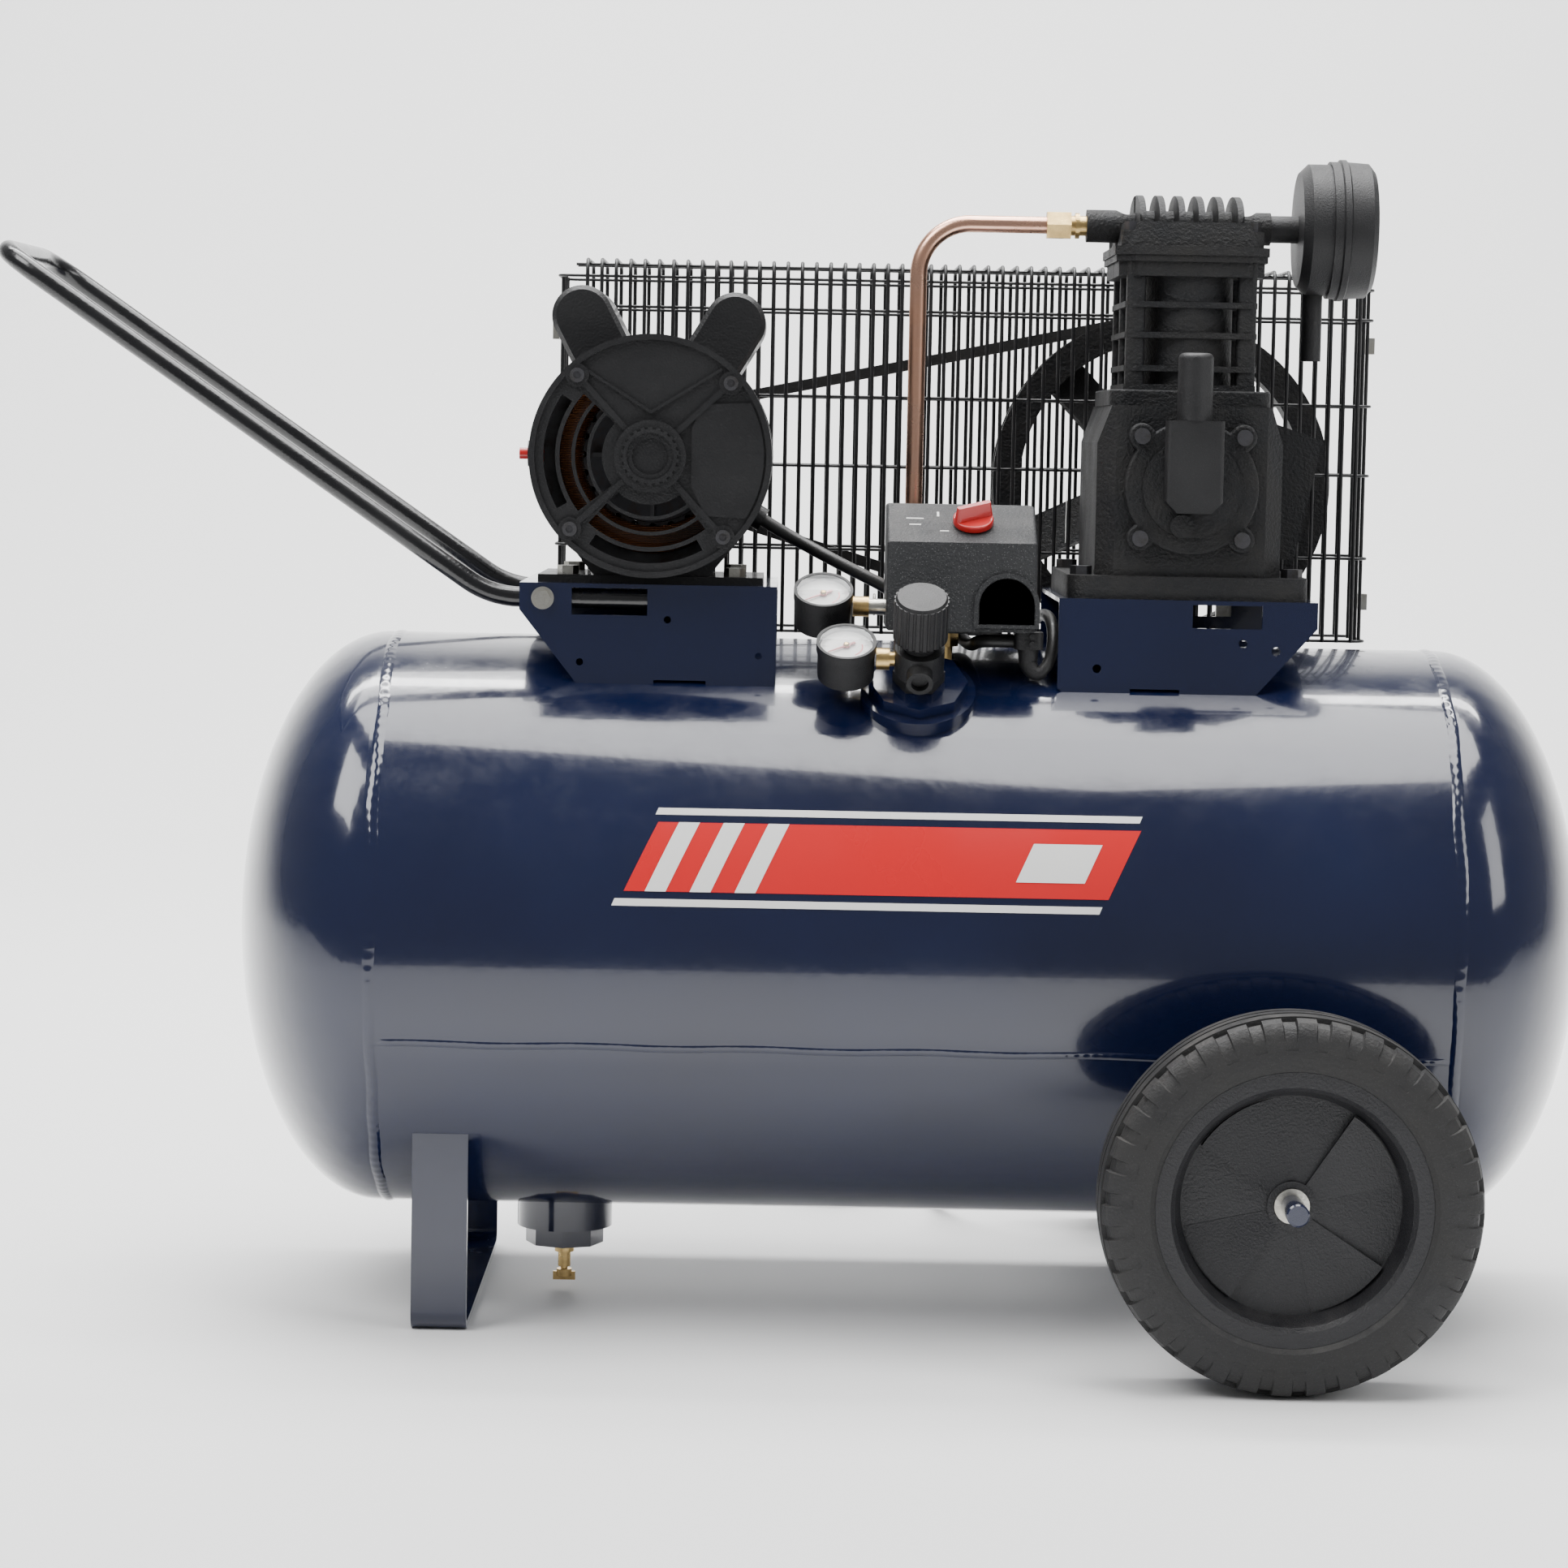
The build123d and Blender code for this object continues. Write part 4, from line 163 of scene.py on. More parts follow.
def metal(name, options):
    look = Look(name)
    stain = look.noise(options["stainScale"], 5, 0.65)
    colour = look.blend(look.span(stain, 0.4, 0.75), options["colour"], options["stain"])
    scratch = look.noise(options["grain"], 3, 0.6, options["brush"])
    look.bump(scratch, options["depth"])
    rough = look.span(stain, 0.3, 0.8, (options["roughness"], options["roughness"] + 0.22))
    return look.finish(Base_Color=colour, Roughness=rough, Metallic=options["metallic"])


def moulded(name, options):
    look = Look(name)
    speck = look.cells(options["speckScale"])
    cloud = look.noise(24, 4)
    colour = look.blend(look.span(cloud, 0.35, 0.7), options["colour"], options["shade"])
    colour = look.blend(look.span(speck, 0.0, 0.25, (options["speck"], 0.0)), colour, (0.3, 0.3, 0.3))
    dust = look.span(look.facing_up(), 0.1, 1.0) * look.span(look.noise(52, 5, 0.7), 0.42, 0.8)
    colour = look.blend(dust * options["dust"], colour, (0.33, 0.31, 0.28))
    look.bump(look.noise(options["grain"], 3, 0.6), options["depth"])
    rough = look.span(cloud, 0.3, 0.75, (options["roughness"], options["roughness"] + 0.15))
    return look.finish(Base_Color=colour, Roughness=rough, Coat_Weight=options["coat"])


tankPaint = {"colour": (0.0035, 0.0065, 0.028), "shade": (0.005, 0.010, 0.040), "cloudScale": 5,
             "dust": 0.04, "peelScale": 130, "peelDepth": 0.00009, "roughness": 0.10, "smear": 0.12,
             "coat": 0.7}
tubePaint = {"colour": (0.003, 0.003, 0.004), "shade": (0.006, 0.006, 0.007), "cloudScale": 9,
             "dust": 0.05, "peelScale": 420, "peelDepth": 0.0002, "roughness": 0.2, "smear": 0.18,
             "coat": 0.5}
motorPaint = {"colour": (0.004, 0.004, 0.005), "shade": (0.008, 0.008, 0.009), "cloudScale": 12,
              "dust": 0.10, "peelScale": 620, "peelDepth": 0.0004, "roughness": 0.38, "smear": 0.2,
              "coat": 0.15}
guardPaint = {"colour": (0.004, 0.004, 0.005), "shade": (0.008, 0.008, 0.009), "cloudScale": 20,
              "dust": 0.08, "peelScale": 700, "peelDepth": 0.0002, "roughness": 0.34, "smear": 0.2,
              "coat": 0.2}
castIron = {"colour": (0.010, 0.0105, 0.012), "stain": (0.022, 0.021, 0.020), "stainScale": 30,
            "grain": 420,
            "brush": (1, 1, 1), "depth": 0.0012, "roughness": 0.5, "metallic": 0.35}
turnedSteel = {"colour": (0.5, 0.5, 0.5), "stain": (0.3, 0.28, 0.25), "stainScale": 45, "grain": 300,
               "brush": (1, 8, 1), "depth": 0.0001, "roughness": 0.28, "metallic": 1.0}
zincPlate = {"colour": (0.62, 0.61, 0.56), "stain": (0.42, 0.40, 0.34), "stainScale": 70, "grain": 500,
             "brush": (1, 1, 1), "depth": 0.0002, "roughness": 0.24, "metallic": 1.0}
boltSteel = {"colour": (0.12, 0.12, 0.13), "stain": (0.06, 0.055, 0.05), "stainScale": 80, "grain": 400,
             "brush": (1, 1, 1), "depth": 0.0002, "roughness": 0.32, "metallic": 0.9}
brassMetal = {"colour": (0.78, 0.56, 0.24), "stain": (0.42, 0.28, 0.12), "stainScale": 60, "grain": 300,
              "brush": (1, 1, 6), "depth": 0.0001, "roughness": 0.22, "metallic": 1.0}
copperMetal = {"colour": (0.86, 0.52, 0.38), "stain": (0.66, 0.36, 0.24), "stainScale": 18, "grain": 260,
               "brush": (1, 1, 4), "depth": 0.00003, "roughness": 0.18, "metallic": 1.0}
aluminiumCast = {"colour": (0.6, 0.6, 0.61), "stain": (0.4, 0.4, 0.4), "stainScale": 40, "grain": 350,
                 "brush": (1, 1, 1), "depth": 0.0005, "roughness": 0.36, "metallic": 1.0}
beltRubber = {"colour": (0.012, 0.012, 0.012), "shade": (0.022, 0.021, 0.020), "speckScale": 900,
              "speck": 0.1,
              "dust": 0.08, "grain": 800, "depth": 0.0004, "roughness": 0.6, "coat": 0.0}
tyreRubber = {"colour": (0.007, 0.007, 0.008), "shade": (0.014, 0.0135, 0.013), "speckScale": 700,
              "speck": 0.10,
              "dust": 0.15, "grain": 500, "depth": 0.0006, "roughness": 0.55, "coat": 0.0}
cordRubber = {"colour": (0.010, 0.010, 0.010), "shade": (0.018, 0.018, 0.018), "speckScale": 900,
              "speck": 0.05,
              "dust": 0.2, "grain": 600, "depth": 0.0003, "roughness": 0.42, "coat": 0.1}
blackPlastic = {"colour": (0.006, 0.006, 0.007), "shade": (0.010, 0.010, 0.011), "speckScale": 1100,
                "speck": 0.08,
                "dust": 0.08, "grain": 900, "depth": 0.0004, "roughness": 0.42, "coat": 0.0}
wheelPlastic = {"colour": (0.006, 0.006, 0.008), "shade": (0.011, 0.011, 0.013), "speckScale": 800,
                "speck": 0.10,
                "dust": 0.08, "grain": 650, "depth": 0.0006, "roughness": 0.4, "coat": 0.0}
switchPlastic = {"colour": (0.013, 0.014, 0.016), "shade": (0.019, 0.020, 0.022), "speckScale": 650,
                 "speck": 0.55,
                 "dust": 0.12, "grain": 520, "depth": 0.0010, "roughness": 0.48, "coat": 0.0}
redPlastic = {"colour": (0.55, 0.010, 0.010), "shade": (0.42, 0.008, 0.008), "speckScale": 900,
              "speck": 0.02,
              "dust": 0.05, "grain": 700, "depth": 0.0001, "roughness": 0.25, "coat": 0.4}
paperPleats = {"colour": (0.7, 0.65, 0.5), "shade": (0.6, 0.54, 0.4), "speckScale": 400, "speck": 0.05,
               "dust": 0.1, "grain": 300, "depth": 0.0008, "roughness": 0.8, "coat": 0.0}

tank = painted("tankPaint", tankPaint)
gloss = painted("tubePaint", tubePaint)
motorSatin = painted("motorPaint", motorPaint)
guardBlack = painted("guardPaint", guardPaint)
iron = metal("castIron", castIron)
steel = metal("turnedSteel", turnedSteel)
zinc = metal("zincPlate", zincPlate)
blackBolt = metal("blackenedBolt", boltSteel)
brass = metal("brassMetal", brassMetal)
copper = metal("copperMetal", copperMetal)
aluminium = metal("aluminiumCast", aluminiumCast)
belt = moulded("beltRubber", beltRubber)
tyre = moulded("tyreRubber", tyreRubber)
cable = moulded("cordRubber", cordRubber)
plastic = moulded("blackPlastic", blackPlastic)
wheelBlack = moulded("wheelPlastic", wheelPlastic)
speckled = moulded("switchPlastic", switchPlastic)
red = moulded("redPlastic", redPlastic)
paper = moulded("paperPleats", paperPleats)


def windingLook():
    look = Look("windings")
    strand = look.bands(260, "Z", 1.5)
    colour = look.blend(look.span(strand, 0.2, 0.8), (0.16, 0.045, 0.015), (0.55, 0.22, 0.08))
    look.bump(strand, 0.0008)
    return look.finish(Base_Color=colour, Roughness=look.span(strand, 0, 1, (0.5, 0.25)), Metallic=0.7,
                       Coat_Weight=0.4)


def laminationLook():
    look = Look("laminations")
    layer = look.bands(320, "Y")
    rust = look.noise(60, 5, 0.7)
    colour = look.blend(layer, (0.10, 0.10, 0.11), (0.32, 0.31, 0.30))
    colour = look.blend(look.span(rust, 0.5, 0.75, (0.0, 0.5)), colour, (0.13, 0.07, 0.04))
    look.bump(layer, 0.0004)
    return look.finish(Base_Color=colour, Roughness=look.span(rust, 0.3, 0.7, (0.35, 0.6)), Metallic=0.8)


windings, laminations = windingLook(), laminationLook()
nodeLooks = {
    "axle_brackets": tank, "bearings": steel, "brass_fittings": brass, "breather": plastic,
    "capacitor_covers": motorSatin, "capacitors": aluminium, "cord_clamp": plastic, "cord_coil": cable,
    "crankcase": iron, "crankcase_cover": iron, "crankshaft": steel, "cylinder_block": iron,
    "cylinder_head": iron, "discharge_tube": copper, "drain_screw": brass, "drive_belt": belt,
    "filter_base": plastic, "filter_cover": plastic, "filter_element": paper, "flywheel": iron,
    "foot": tank, "frame_bolts": zinc, "gauge_cases": plastic, "guard_back": guardBlack,
    "guard_front": guardBlack, "handle": gloss, "line_needle": red, "motor_bolts": blackBolt,
    "motor_front_bell": motorSatin, "motor_lead": cable, "motor_pulley": iron,
             "motor_rear_bell": motorSatin,
    "motor_saddle": tank, "motor_shaft": steel, "motor_shell": motorSatin, "piston_front": aluminium,
    "piston_rear": aluminium, "plug": plastic, "power_cord": cable, "pressure_switch_base": plastic,
    "pressure_switch_cover": speckled, "pump_bolts": blackBolt, "pump_saddle": tank,
             "regulator_body": plastic,
    "regulator_knob": plastic, "reset_button": red, "rotor": laminations, "safety_ring": zinc,
    "safety_valve": zinc, "stator_core": laminations, "stator_windings": windings, "switch_knob": red,
    "tank_heads": tank, "tank_needle": red, "tank_shell": tank, "tyre_front": tyre, "tyre_rear": tyre,
    "valve_plate": iron, "wheel_front": wheelBlack, "wheel_rear": wheelBlack,
}
for nodeName, nodeLook in nodeLooks.items():
    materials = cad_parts[nodeName].data.materials
    materials.clear()
    materials.append(nodeLook)
print("stage: materials set")

# Camera in front of the tank, a little to its left
view = {"place": (-0.0062, -2.9556, 0.6165), "pitch": 0.084, "roll": 0.019, "lens": 95.3}
cameraData = bpy.data.cameras.new("camera")
cameraData.lens = view["lens"]
cameraData.sensor_width = 36
camera = bpy.data.objects.new("camera", cameraData)
bpy.context.scene.collection.objects.link(camera)
ahead = Vector((0, math.cos(view["pitch"]), -math.sin(view["pitch"])))
flatUp = Vector((0, math.sin(view["pitch"]), math.cos(view["pitch"])))
flatRight = Vector((1, 0, 0))
right = flatRight * math.cos(view["roll"]) + flatUp * math.sin(view["roll"])
up = flatUp * math.cos(view["roll"]) - flatRight * math.sin(view["roll"])
turn = Matrix((right, up, -ahead)).transposed().to_4x4()
camera.matrix_world = Matrix.Translation(Vector(view["place"])) @ turn
bpy.context.scene.camera = camera


def curvePiece(name, points, radius, look, radii=None, body="frame"):
    curve = bpy.data.curves.new(name, "CURVE")
    curve.dimensions = "3D"
    curve.bevel_depth = 1.0
    curve.bevel_resolution = 5
    curve.resolution_u = 6
    curve.use_fill_caps = True
    spline = curve.splines.new("NURBS")
    spline.points.add(len(points) - 1)
    for k, point in enumerate(points):
        spline.points[k].co = (*point, 1)
        spline.points[k].radius = radius * (radii[k] if radii else 1)
    spline.order_u = 3
    spline.use_endpoint_u = True
    curve.materials.append(look)
    made = bpy.data.objects.new(name, curve)
    bpy.context.scene.collection.objects.link(made)
    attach(made, body)
    return made


# Mains cord: out of the clamp, over the tank's back, down to a put-away coil and its plug
cord = {"radius": 0.00425, "coilX": 0.03858, "coilY": 0.38635, "outer": 0.0512, "inner": 0.0426,
        "layer": 0.0086}
clampX = 0.1585
route = [
    (clampX + 0.002, -0.094, 0.472), (clampX + 0.002, -0.094, 0.461), (clampX + 0.008, -0.097, 0.454),
    (clampX + 0.017, -0.096, 0.462), (clampX + 0.020, -0.088, 0.480), (clampX + 0.019, -0.066, 0.493),
    (clampX + 0.015, -0.028, 0.494), (clampX + 0.012, 0.026, 0.487), (clampX + 0.012, 0.084, 0.466),
    (clampX + 0.008, 0.140, 0.433), (clampX + 0.004, 0.186, 0.386), (clampX, 0.214, 0.324),
    (clampX - 0.006, 0.226, 0.254), (clampX - 0.014, 0.229, 0.180), (clampX - 0.020, 0.236, 0.110),
    (clampX - 0.024, 0.262, 0.054), (clampX - 0.030, 0.304, 0.018), (clampX - 0.044, 0.374, cord["radius"]),
    (clampX - 0.068, 0.416, cord["radius"]),
]


def stepped(angle, steps):
    value = steps[0][1]
    for (a0, v0), (a1, v1) in zip(steps, steps[1:]):
        if angle >= a0:
            value = v0 + (v1 - v0) * min(1, (angle - a0) / (a1 - a0))
    return value


start = 30
outside = cord["outer"] + cord["layer"]
rings = [(start, outside), (90, cord["outer"]), (start + 360, cord["outer"]), (450, cord["inner"]),
         (start + 1080, cord["inner"]), (1170, cord["outer"]), (1530, cord["outer"])]
lifts = [(start, cord["radius"]), (680, cord["radius"]), (745, cord["radius"] + cord["layer"]),
         (1530, cord["radius"] + cord["layer"])]
for angle in range(45, 1531, 15):
    ring, lift = stepped(angle, rings), stepped(angle, lifts)
    ray = math.radians(angle)
    route.append((cord["coilX"] + ring * math.cos(ray), cord["coilY"] + ring * math.sin(ray), lift))
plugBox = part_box("plug")
plugX = (plugBox[0].x + plugBox[1].x) / 2
plugEnd = plugBox[1].y
route += [(cord["coilX"] - 0.026, cord["coilY"] + cord["outer"], 0.0135), (-0.012, 0.4374, 0.014),
          (plugX + 0.010, 0.434, 0.014), (plugX, 0.426, 0.014), (plugX, plugEnd - 0.001, 0.014)]
mains = curvePiece("mainsCord", route, cord["radius"], cable)
mains.data.resolution_u = 3
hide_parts("power_cord", "cord_coil")
boot = {"wide": 1.75, "thin": 1.12}
bootPoints = [route[0], (route[0][0], route[0][1], 0.4665), route[1], route[2], (clampX + 0.0125, -0.0966,
                                                                                 0.4575)]
bootRadii = [boot["wide"] + (boot["thin"] - boot["wide"]) * k / 4 for k in range(5)]
strainBoot = curvePiece("strainBoot", bootPoints, cord["radius"], plastic, bootRadii)
print("stage: camera and cord placed")


def gridPiece(name, rows, cols, at, look, body="frame", wrapRows=False, wrapCols=False,
              sharp=None):
    points = [at(r, c) for r in range(rows) for c in range(cols)]
    faces = []
    for r in range(rows if wrapRows else rows - 1):
        for c in range(cols if wrapCols else cols - 1):
            nextRow, nextCol = (r + 1) % rows, (c + 1) % cols
            faces.append((r * cols + c, r * cols + nextCol, nextRow * cols + nextCol, nextRow * cols + c))
    return meshPiece(name, points, faces, look, body, sharp)


def meshPiece(name, points, faces, look, body="frame", sharp=None):
    mesh = bpy.data.meshes.new(name)
    mesh.from_pydata([tuple(p) for p in points], [], faces)
    mesh.polygons.foreach_set("use_smooth", [True] * len(mesh.polygons))
    if sharp:
        mesh.set_sharp_from_angle(angle=math.radians(sharp))
    mesh.materials.append(look)
    made = bpy.data.objects.new(name, mesh)
    bpy.context.scene.collection.objects.link(made)
    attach(made, body)
    return made


# Tyres with shoulder blocks
tread = {"blocks": 34, "blockDepth": 0.0030, "radius": 0.125}
tyreProfile = [
    (-0.0320, 0.0902, 0), (-0.0345, 0.0935, 0), (-0.0350, 0.1000, 0), (-0.0348, 0.1040, 0), (-0.0346,
                                                                                             0.1050, 0.2),
    (-0.0343, 0.1062, 1), (-0.0335, 0.1130, 1), (-0.0315, 0.1185, 1), (-0.0285, 0.1218, 1), (-0.0215,
                                                                                             0.1238, 1),
    (-0.0212, 0.1210, 0), (-0.0185, 0.1210, 0), (-0.0182, 0.1244, 0), (-0.0075, 0.1249, 0), (-0.0072,
                                                                                             0.1222, 0),
    (-0.0045, 0.1222, 0), (-0.0042, 0.1250, 0),
]
tyreProfile += [(-y, r, b) for y, r, b in reversed(tyreProfile)]
tyreProfile += [(0.020, 0.0902, 0), (0.0, 0.0902, 0), (-0.020, 0.0902, 0)]
blockShape = [(0.0, 1.0), (0.14, 1.0), (0.28, 1.0), (0.42, 1.0), (0.56, 1.0), (0.60, 0.0), (0.78, 0.0),
              (0.96, 0.0)]
wheelX, wheelZ = 0.3277, 0.125


def tyrePiece(name, middleY, body, node):
    def at(row, col):
        y, radius, share = tyreProfile[col]
        block, part = divmod(row, len(blockShape))
        shift = 0.5 if y > 0 else 0.0
        turn = (block + blockShape[part][0] + shift) / tread["blocks"] * 2 * math.pi
        radius -= share * (1 - blockShape[part][1]) * tread["blockDepth"]
        return (wheelX + radius * math.cos(turn), middleY + y, wheelZ + radius * math.sin(turn))

    rows = tread["blocks"] * len(blockShape)
    made = gridPiece(name, rows, len(tyreProfile), at, tyre, body, True, True, 28)
    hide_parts(node)


tyrePiece("tyreFrontTread", -0.2857, "wheel_front_body", "tyre_front")
tyrePiece("tyreRearTread", 0.2857, "wheel_rear_body", "tyre_rear")
print("stage: tyres built")

# Weld beads on the tank
weld = {"radius": 0.203, "axisZ": 0.2685, "tankX": 0.0835, "half": 0.365, "width": 0.0085, "rise": 0.0011}


def onTank(x, angle, lift=0.0):
    reach = weld["radius"] + lift
    return (x, -reach * math.cos(angle), weld["axisZ"] + reach * math.sin(angle))


def ringBead(name, x, width, rise):
    def at(row, col):
        turn = row / 720 * 2 * math.pi
        across = (col / 6 - 0.5) * 2
        ripple = 1 + 0.10 * math.sin(turn * 150) + 0.06 * math.sin(turn * 37)
        wander = 0.0006 * math.sin(turn * 9) + 0.0003 * math.sin(turn * 23)
        return onTank(x + wander + across * width / 2, turn, rise * ripple * (1 - across * across) - 0.0002)

    gridPiece(name, 720, 7, at, tank, "frame", True)


def lineBead(name, low, high, angle, width, rise):
    count = 400

    def at(row, col):
        along = row / (count - 1)
        across = (col / 6 - 0.5) * 2
        ripple = 1 + 0.12 * math.sin(along * 700) + 0.08 * math.sin(along * 130)
        ends = min(1, along * 60, (1 - along) * 60)
        side = angle + (across * width / 2 + 0.0006 * math.sin(along * 40)) / weld["radius"]
        return onTank(low + (high - low) * along, side,
                      rise * ripple * ends * (1 - across * across) - 0.0002)

    gridPiece(name, count, 7, at, tank, "frame")


ringBead("weldLeft", weld["tankX"] - weld["half"], weld["width"], weld["rise"])
ringBead("weldRight", weld["tankX"] + weld["half"], weld["width"], weld["rise"])
lineBead("weldLengthways", weld["tankX"] - weld["half"], weld["tankX"] + weld["half"],
         math.radians(-18.5), 0.006, 0.0009)


# Generic coloured panel on the tank's front
panel = {"low": -0.123, "high": 0.235, "top": 28.9, "lift": 0.0003,
         "red": (0.62, 0.012, 0.015), "white": (0.82, 0.82, 0.80)}


def vinyl(name, colour):
    look = Look(name)
    fade = look.noise(14, 4)
    tint = look.blend(look.span(fade, 0.3, 0.8, (0.0, 0.3)), colour, tuple(0.8 * c for c in colour))
    look.bump(look.noise(160, 2), 0.0001)
    return look.finish(Base_Color=tint, Roughness=look.span(fade, 0.3, 0.7, (0.25, 0.38)), Coat_Weight=0.4)


redVinyl, whiteVinyl = vinyl("redVinyl", panel["red"]), vinyl("whiteVinyl", panel["white"])


def panelStripe(name, x0, x1, low, high, lean, look, layer):
    def at(row, col):
        rise = col / 12
        angle = math.radians(low + (high - low) * rise)
        x = x0 + (x1 - x0) * row / 40 + lean * rise
        return onTank(x, angle, panel["lift"] * layer)

    gridPiece(name, 41, 13, at, look, "frame")


panelStripe("panelBand", -0.112, 0.212, 12.0, 25.5, 0.022, redVinyl, 1)
for k in range(3):
    panelStripe(f"panelSlash{k}", -0.098 + 0.030 * k, -0.084 + 0.030 * k, 12.0, 25.5, 0.022, whiteVinyl, 2)
panelStripe("panelTopLine", -0.092, 0.233, 27.0, 28.4, 0.002, whiteVinyl, 1)
panelStripe("panelLowLine", -0.120, 0.206, 9.2, 10.6, 0.002, whiteVinyl, 1)
panelStripe("panelBlock", 0.150, 0.196, 15.0, 22.5, 0.012, whiteVinyl, 2)
print("stage: tank beads and panel built")

# Gauge faces
gauge = {"tilt": 33, "dial": 0.0178, "zero": 212, "sweep": 270, "marks": 40}
tiltSin, tiltCos = math.sin(math.radians(gauge["tilt"])), math.cos(math.radians(gauge["tilt"]))


def onFace(spot, u, v, w):
    return (spot[0] + u, spot[1] + v * tiltCos - w * tiltSin, spot[2] + v * tiltSin + w * tiltCos)


def plainLook(name, colour, low, high, **extra):
    look = Look(name)
    cloud = look.noise(80, 4)
    tint = look.blend(look.span(cloud, 0.35, 0.7), colour, tuple(0.86 * c for c in colour))
    return look.finish(Base_Color=tint, Roughness=look.span(cloud, 0.3, 0.7, (low, high)), **extra)


dialWhite = plainLook("dialWhite", (0.80, 0.80, 0.77), 0.35, 0.5)
dialInk = plainLook("dialInk", (0.012, 0.012, 0.012), 0.4, 0.55)
lensLook = Look("gaugeLens").finish(Base_Color=(0.95, 0.97, 1.0), Roughness=0.03, Alpha=0.14,
                                    Coat_Weight=1.0)


def gaugeFace(name, spot):
    def dial(row, col):
        turn = col / 48 * 2 * math.pi
        reach = gauge["dial"] * row / 6
        return onFace(spot, reach * math.cos(turn), reach * math.sin(turn), -0.00495)

    gridPiece(name + "Dial", 7, 48, dial, dialWhite, "frame", False, True)
    points, faces = [], []

    def bar(angle, inner, outer, half):
        ray = math.radians(angle)
        base = len(points)
        for reach, side in ((inner, -half), (outer, -half), (outer, half), (inner, half)):
            u = reach * math.cos(ray) - side * math.sin(ray)
            v = reach * math.sin(ray) + side * math.cos(ray)
            points.append(onFace(spot, u, v, -0.0048))
        faces.append((base, base + 1, base + 2, base + 3))

    for k in range(gauge["marks"] + 1):
        angle = gauge["zero"] - gauge["sweep"] * k / gauge["marks"]
        long = k % 5 == 0
        bar(angle, 0.0128 if long else 0.0146, 0.0168, 0.00028 if long else 0.00014)
    meshPiece(name + "Marks", points, faces, dialInk, "frame")

    def arc(row, col):
        turn = math.radians(gauge["zero"] - gauge["sweep"] * (0.72 + 0.28 * row / 16))
        reach = 0.0104 + 0.0011 * col
        return onFace(spot, reach * math.cos(turn), reach * math.sin(turn), -0.0048)

    gridPiece(name + "Zone", 17, 2, arc, redVinyl, "frame")

    def lens(row, col):
        turn = col / 48 * 2 * math.pi
        reach = 0.0186 * row / 8
        return onFace(spot, reach * math.cos(turn), reach * math.sin(turn),
                      -0.0004 + 0.0006 * (1 - (row / 8) ** 2))

    gridPiece(name + "Lens", 9, 48, lens, lensLook, "frame", False, True)

    def hub(row, col):
        turn = col / 20 * 2 * math.pi
        reach, lift = ((0.0, -0.0016), (0.0012, -0.0016), (0.0019, -0.0019), (0.0021, -0.0030))[row]
        return onFace(spot, reach * math.cos(turn), reach * math.sin(turn), lift)

    gridPiece(name + "Hub", 4, 20, hub, brass, f"{name}_needle_body", False, True)


gaugeFace("tank", (0.0185, -0.095, 0.5108))
gaugeFace("line", (0.0345, -0.135, 0.4773))
print("stage: gauges built")

# Pressure switch: window pane, marks beside the knob
switch = {"front": -0.110, "base": 0.484, "windowX": 0.1442, "paneY": -0.1131}


def pane(row, col):
    ray = math.pi * col / 24
    share = row / 6
    edge = (0.0190 * math.cos(ray), 0.018 + 0.0190 * math.sin(ray))
    corner = (0.0190 * math.cos(ray), 0.0055)
    u = edge[0] * share + corner[0] * (1 - share)
    v = edge[1] * share + corner[1] * (1 - share)
    return (switch["windowX"] + u, switch["paneY"] + 0.0001, switch["base"] + v)


paneLook = plainLook("windowPane", (0.20, 0.24, 0.21), 0.12, 0.25, Coat_Weight=0.6)
gridPiece("windowPane", 7, 25, pane, paneLook, "frame")
knob = {"x": 0.1208, "y": -0.0885, "z": 0.5575, "normalY": -0.503, "normalZ": 0.865}


def onSlope(u, v, w):
    return (knob["x"] + u, knob["y"] + v * knob["normalZ"] + w * knob["normalY"],
            knob["z"] - v * knob["normalY"] + w * knob["normalZ"])


markLook = plainLook("whiteMark", (0.75, 0.75, 0.72), 0.4, 0.55)
marks = ((-0.040, 0.006, 0.012, 0.0012), (-0.040, -0.002, 0.008, 0.0012), (-0.024, 0.012, 0.0016, 0.006),
         (-0.020, -0.010, 0.006, 0.0012))
for k, (u, v, wide, tall) in enumerate(marks):
    corners = [onSlope(u + a * wide / 2, v + b * tall / 2, 0.00012)
               for a, b in ((-1, -1), (1, -1), (1, 1), (-1, 1))]
    meshPiece(f"switchMark{k}", corners, [(0, 1, 2, 3)], markLook, "frame")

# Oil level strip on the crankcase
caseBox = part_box("crankcase")
strip = {"wide": 0.007, "low": 0.545, "high": 0.582, "y": -0.060}
stripX = caseBox[0].x - 0.0002
corners = [(stripX, strip["y"] - strip["wide"], strip["low"]), (stripX, strip["y"], strip["low"]),
           (stripX, strip["y"], strip["high"]), (stripX, strip["y"] - strip["wide"], strip["high"])]
meshPiece("oilStrip", corners, [(0, 1, 2, 3)], markLook, "frame")
print("stage: small pieces built")

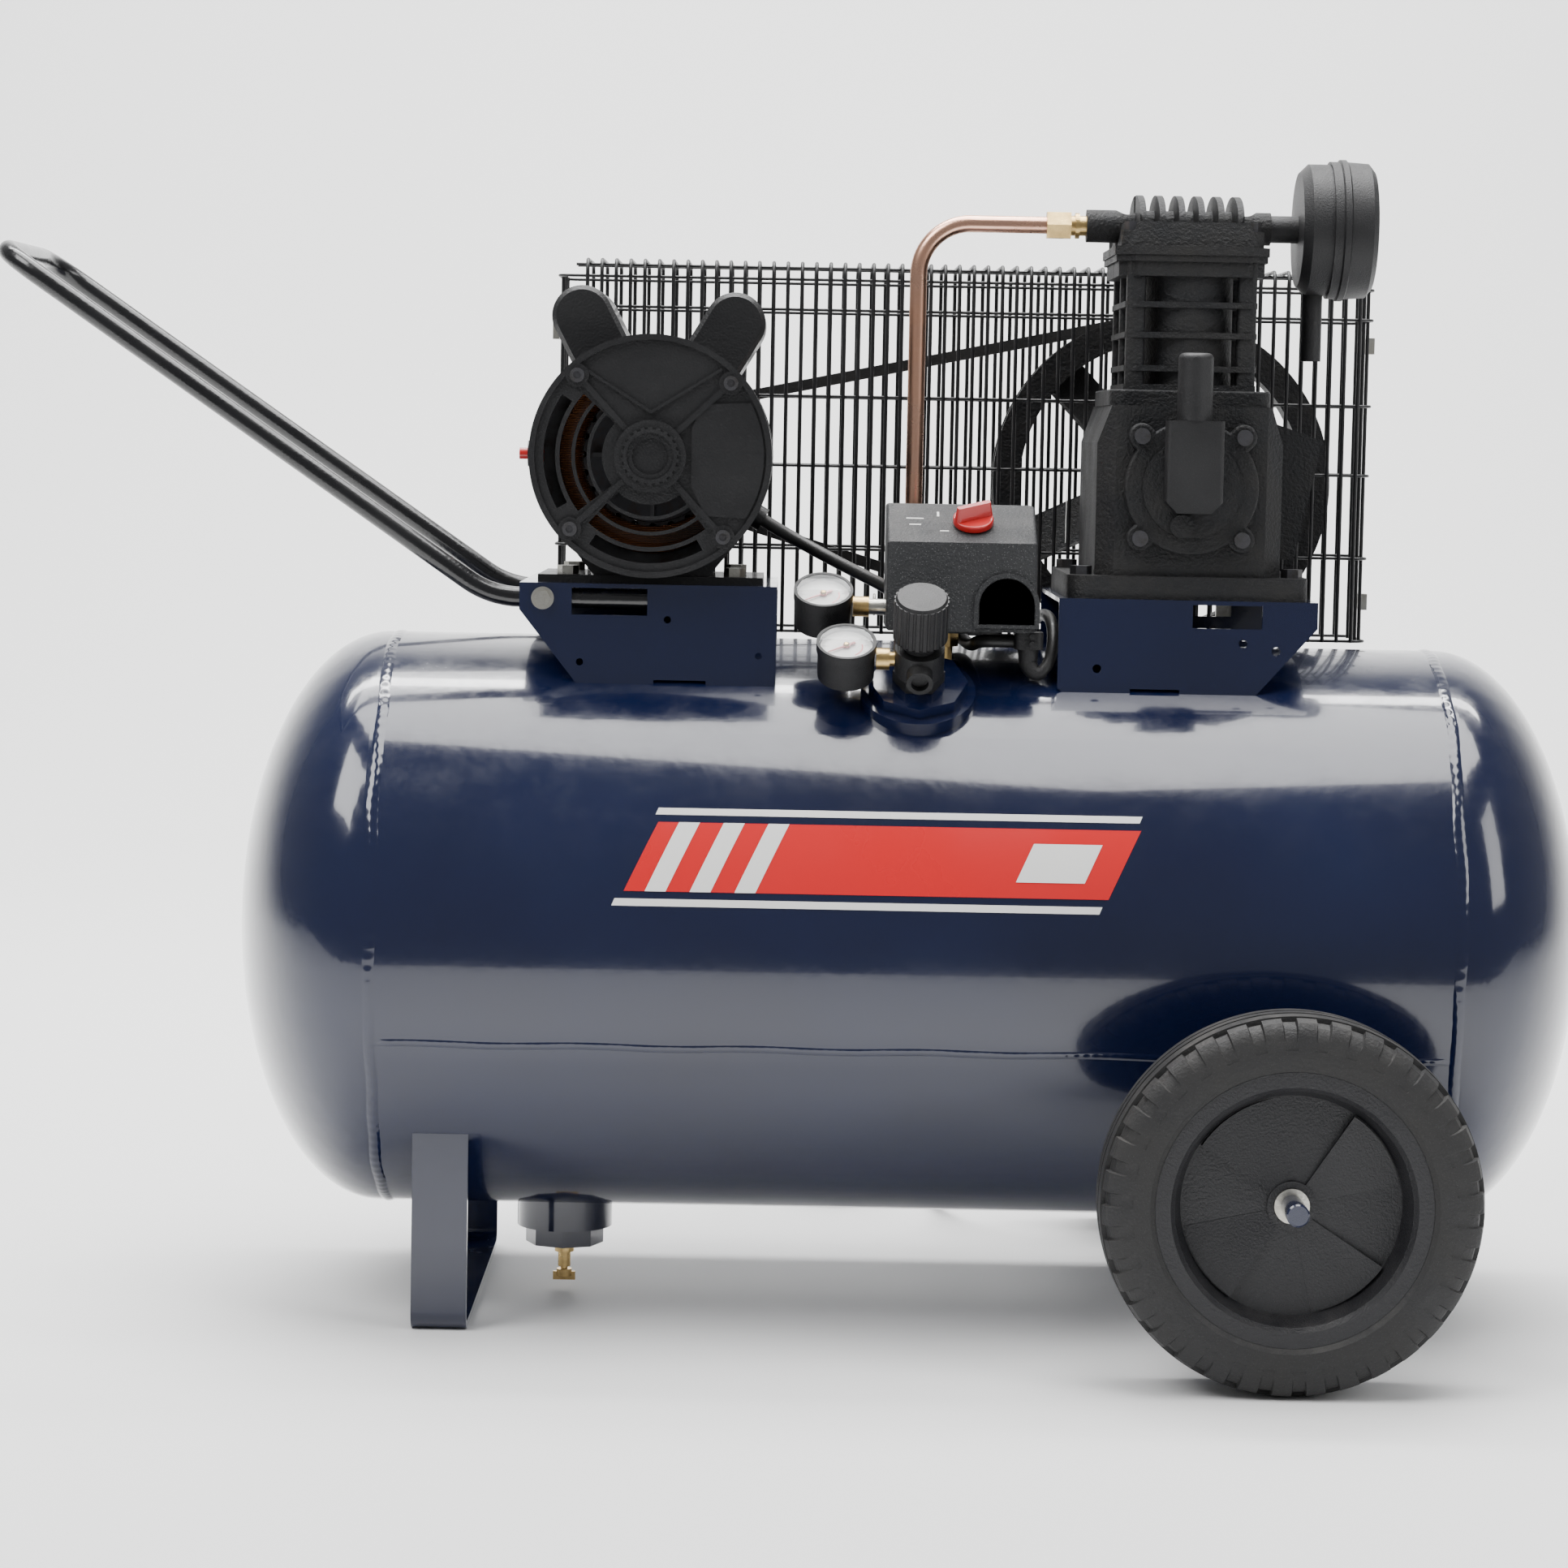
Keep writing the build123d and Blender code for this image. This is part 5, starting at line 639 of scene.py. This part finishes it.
# Floor and soft studio light
studio = {"floor": (0.90, 0.90, 0.895), "world": (0.97, 0.98, 1.0), "worldPower": 0.28, "front": -1.3,
          "bend": 2.5, "radius": 2.5, "height": 9, "half": 9}
floorLook = Look("floor")
floorTone = floorLook.noise(3, 4)
floorLook.finish(Base_Color=floorLook.blend(floorTone, studio["floor"],
                                            tuple(0.98 * c for c in studio["floor"])),
                 Roughness=0.6)
sweep = [(studio["front"], 0), (studio["bend"], 0)]
for step in range(1, 13):
    turn = math.pi / 2 * step / 12
    sweep.append((studio["bend"] + studio["radius"] * math.sin(turn),
                  studio["radius"] * (1 - math.cos(turn))))
sweep.append((studio["bend"] + studio["radius"], studio["height"]))
sweepCorners = [(side * studio["half"], y, z) for y, z in sweep for side in (-1, 1)]
sweepFaces = [(2 * k, 2 * k + 1, 2 * k + 3, 2 * k + 2) for k in range(len(sweep) - 1)]
floorMesh = bpy.data.meshes.new("floor")
floorMesh.from_pydata(sweepCorners, [], sweepFaces)
for face in floorMesh.polygons:
    face.use_smooth = True
floorMesh.materials.append(floorLook.material)
floor = bpy.data.objects.new("floor", floorMesh)
bpy.context.scene.collection.objects.link(floor)
world = bpy.data.worlds.new("studio")
world.use_nodes = True
backdrop = world.node_tree.nodes["Background"]
backdrop.inputs["Color"].default_value = (*studio["world"], 1)
backdrop.inputs["Strength"].default_value = studio["worldPower"]
bpy.context.scene.world = world


def softLight(name, place, target, size, power):
    data = bpy.data.lights.new(name, "AREA")
    data.energy = power
    data.shape = "RECTANGLE"
    data.size, data.size_y = size
    made = bpy.data.objects.new(name, data)
    made.location = place
    made.rotation_euler = (Vector(target) - Vector(place)).to_track_quat("-Z", "Y").to_euler()
    bpy.context.scene.collection.objects.link(made)


softLight("key", (-1.9, -1.6, 3.2), (0, 0, 0.4), (1.8, 1.8), 95)
softLight("fill", (2.8, -2.0, 2.2), (0, 0, 0.4), (1.2, 2.2), 40)
softLight("top", (0.1, 0.1, 3.2), (0, 0, 0.4), (3.0, 2.0), 170)
softLight("backdropLight", (0, 1.6, 4.2), (0, 4.6, 0.9), (5.0, 1.0), 420)
print("stage: studio lit")
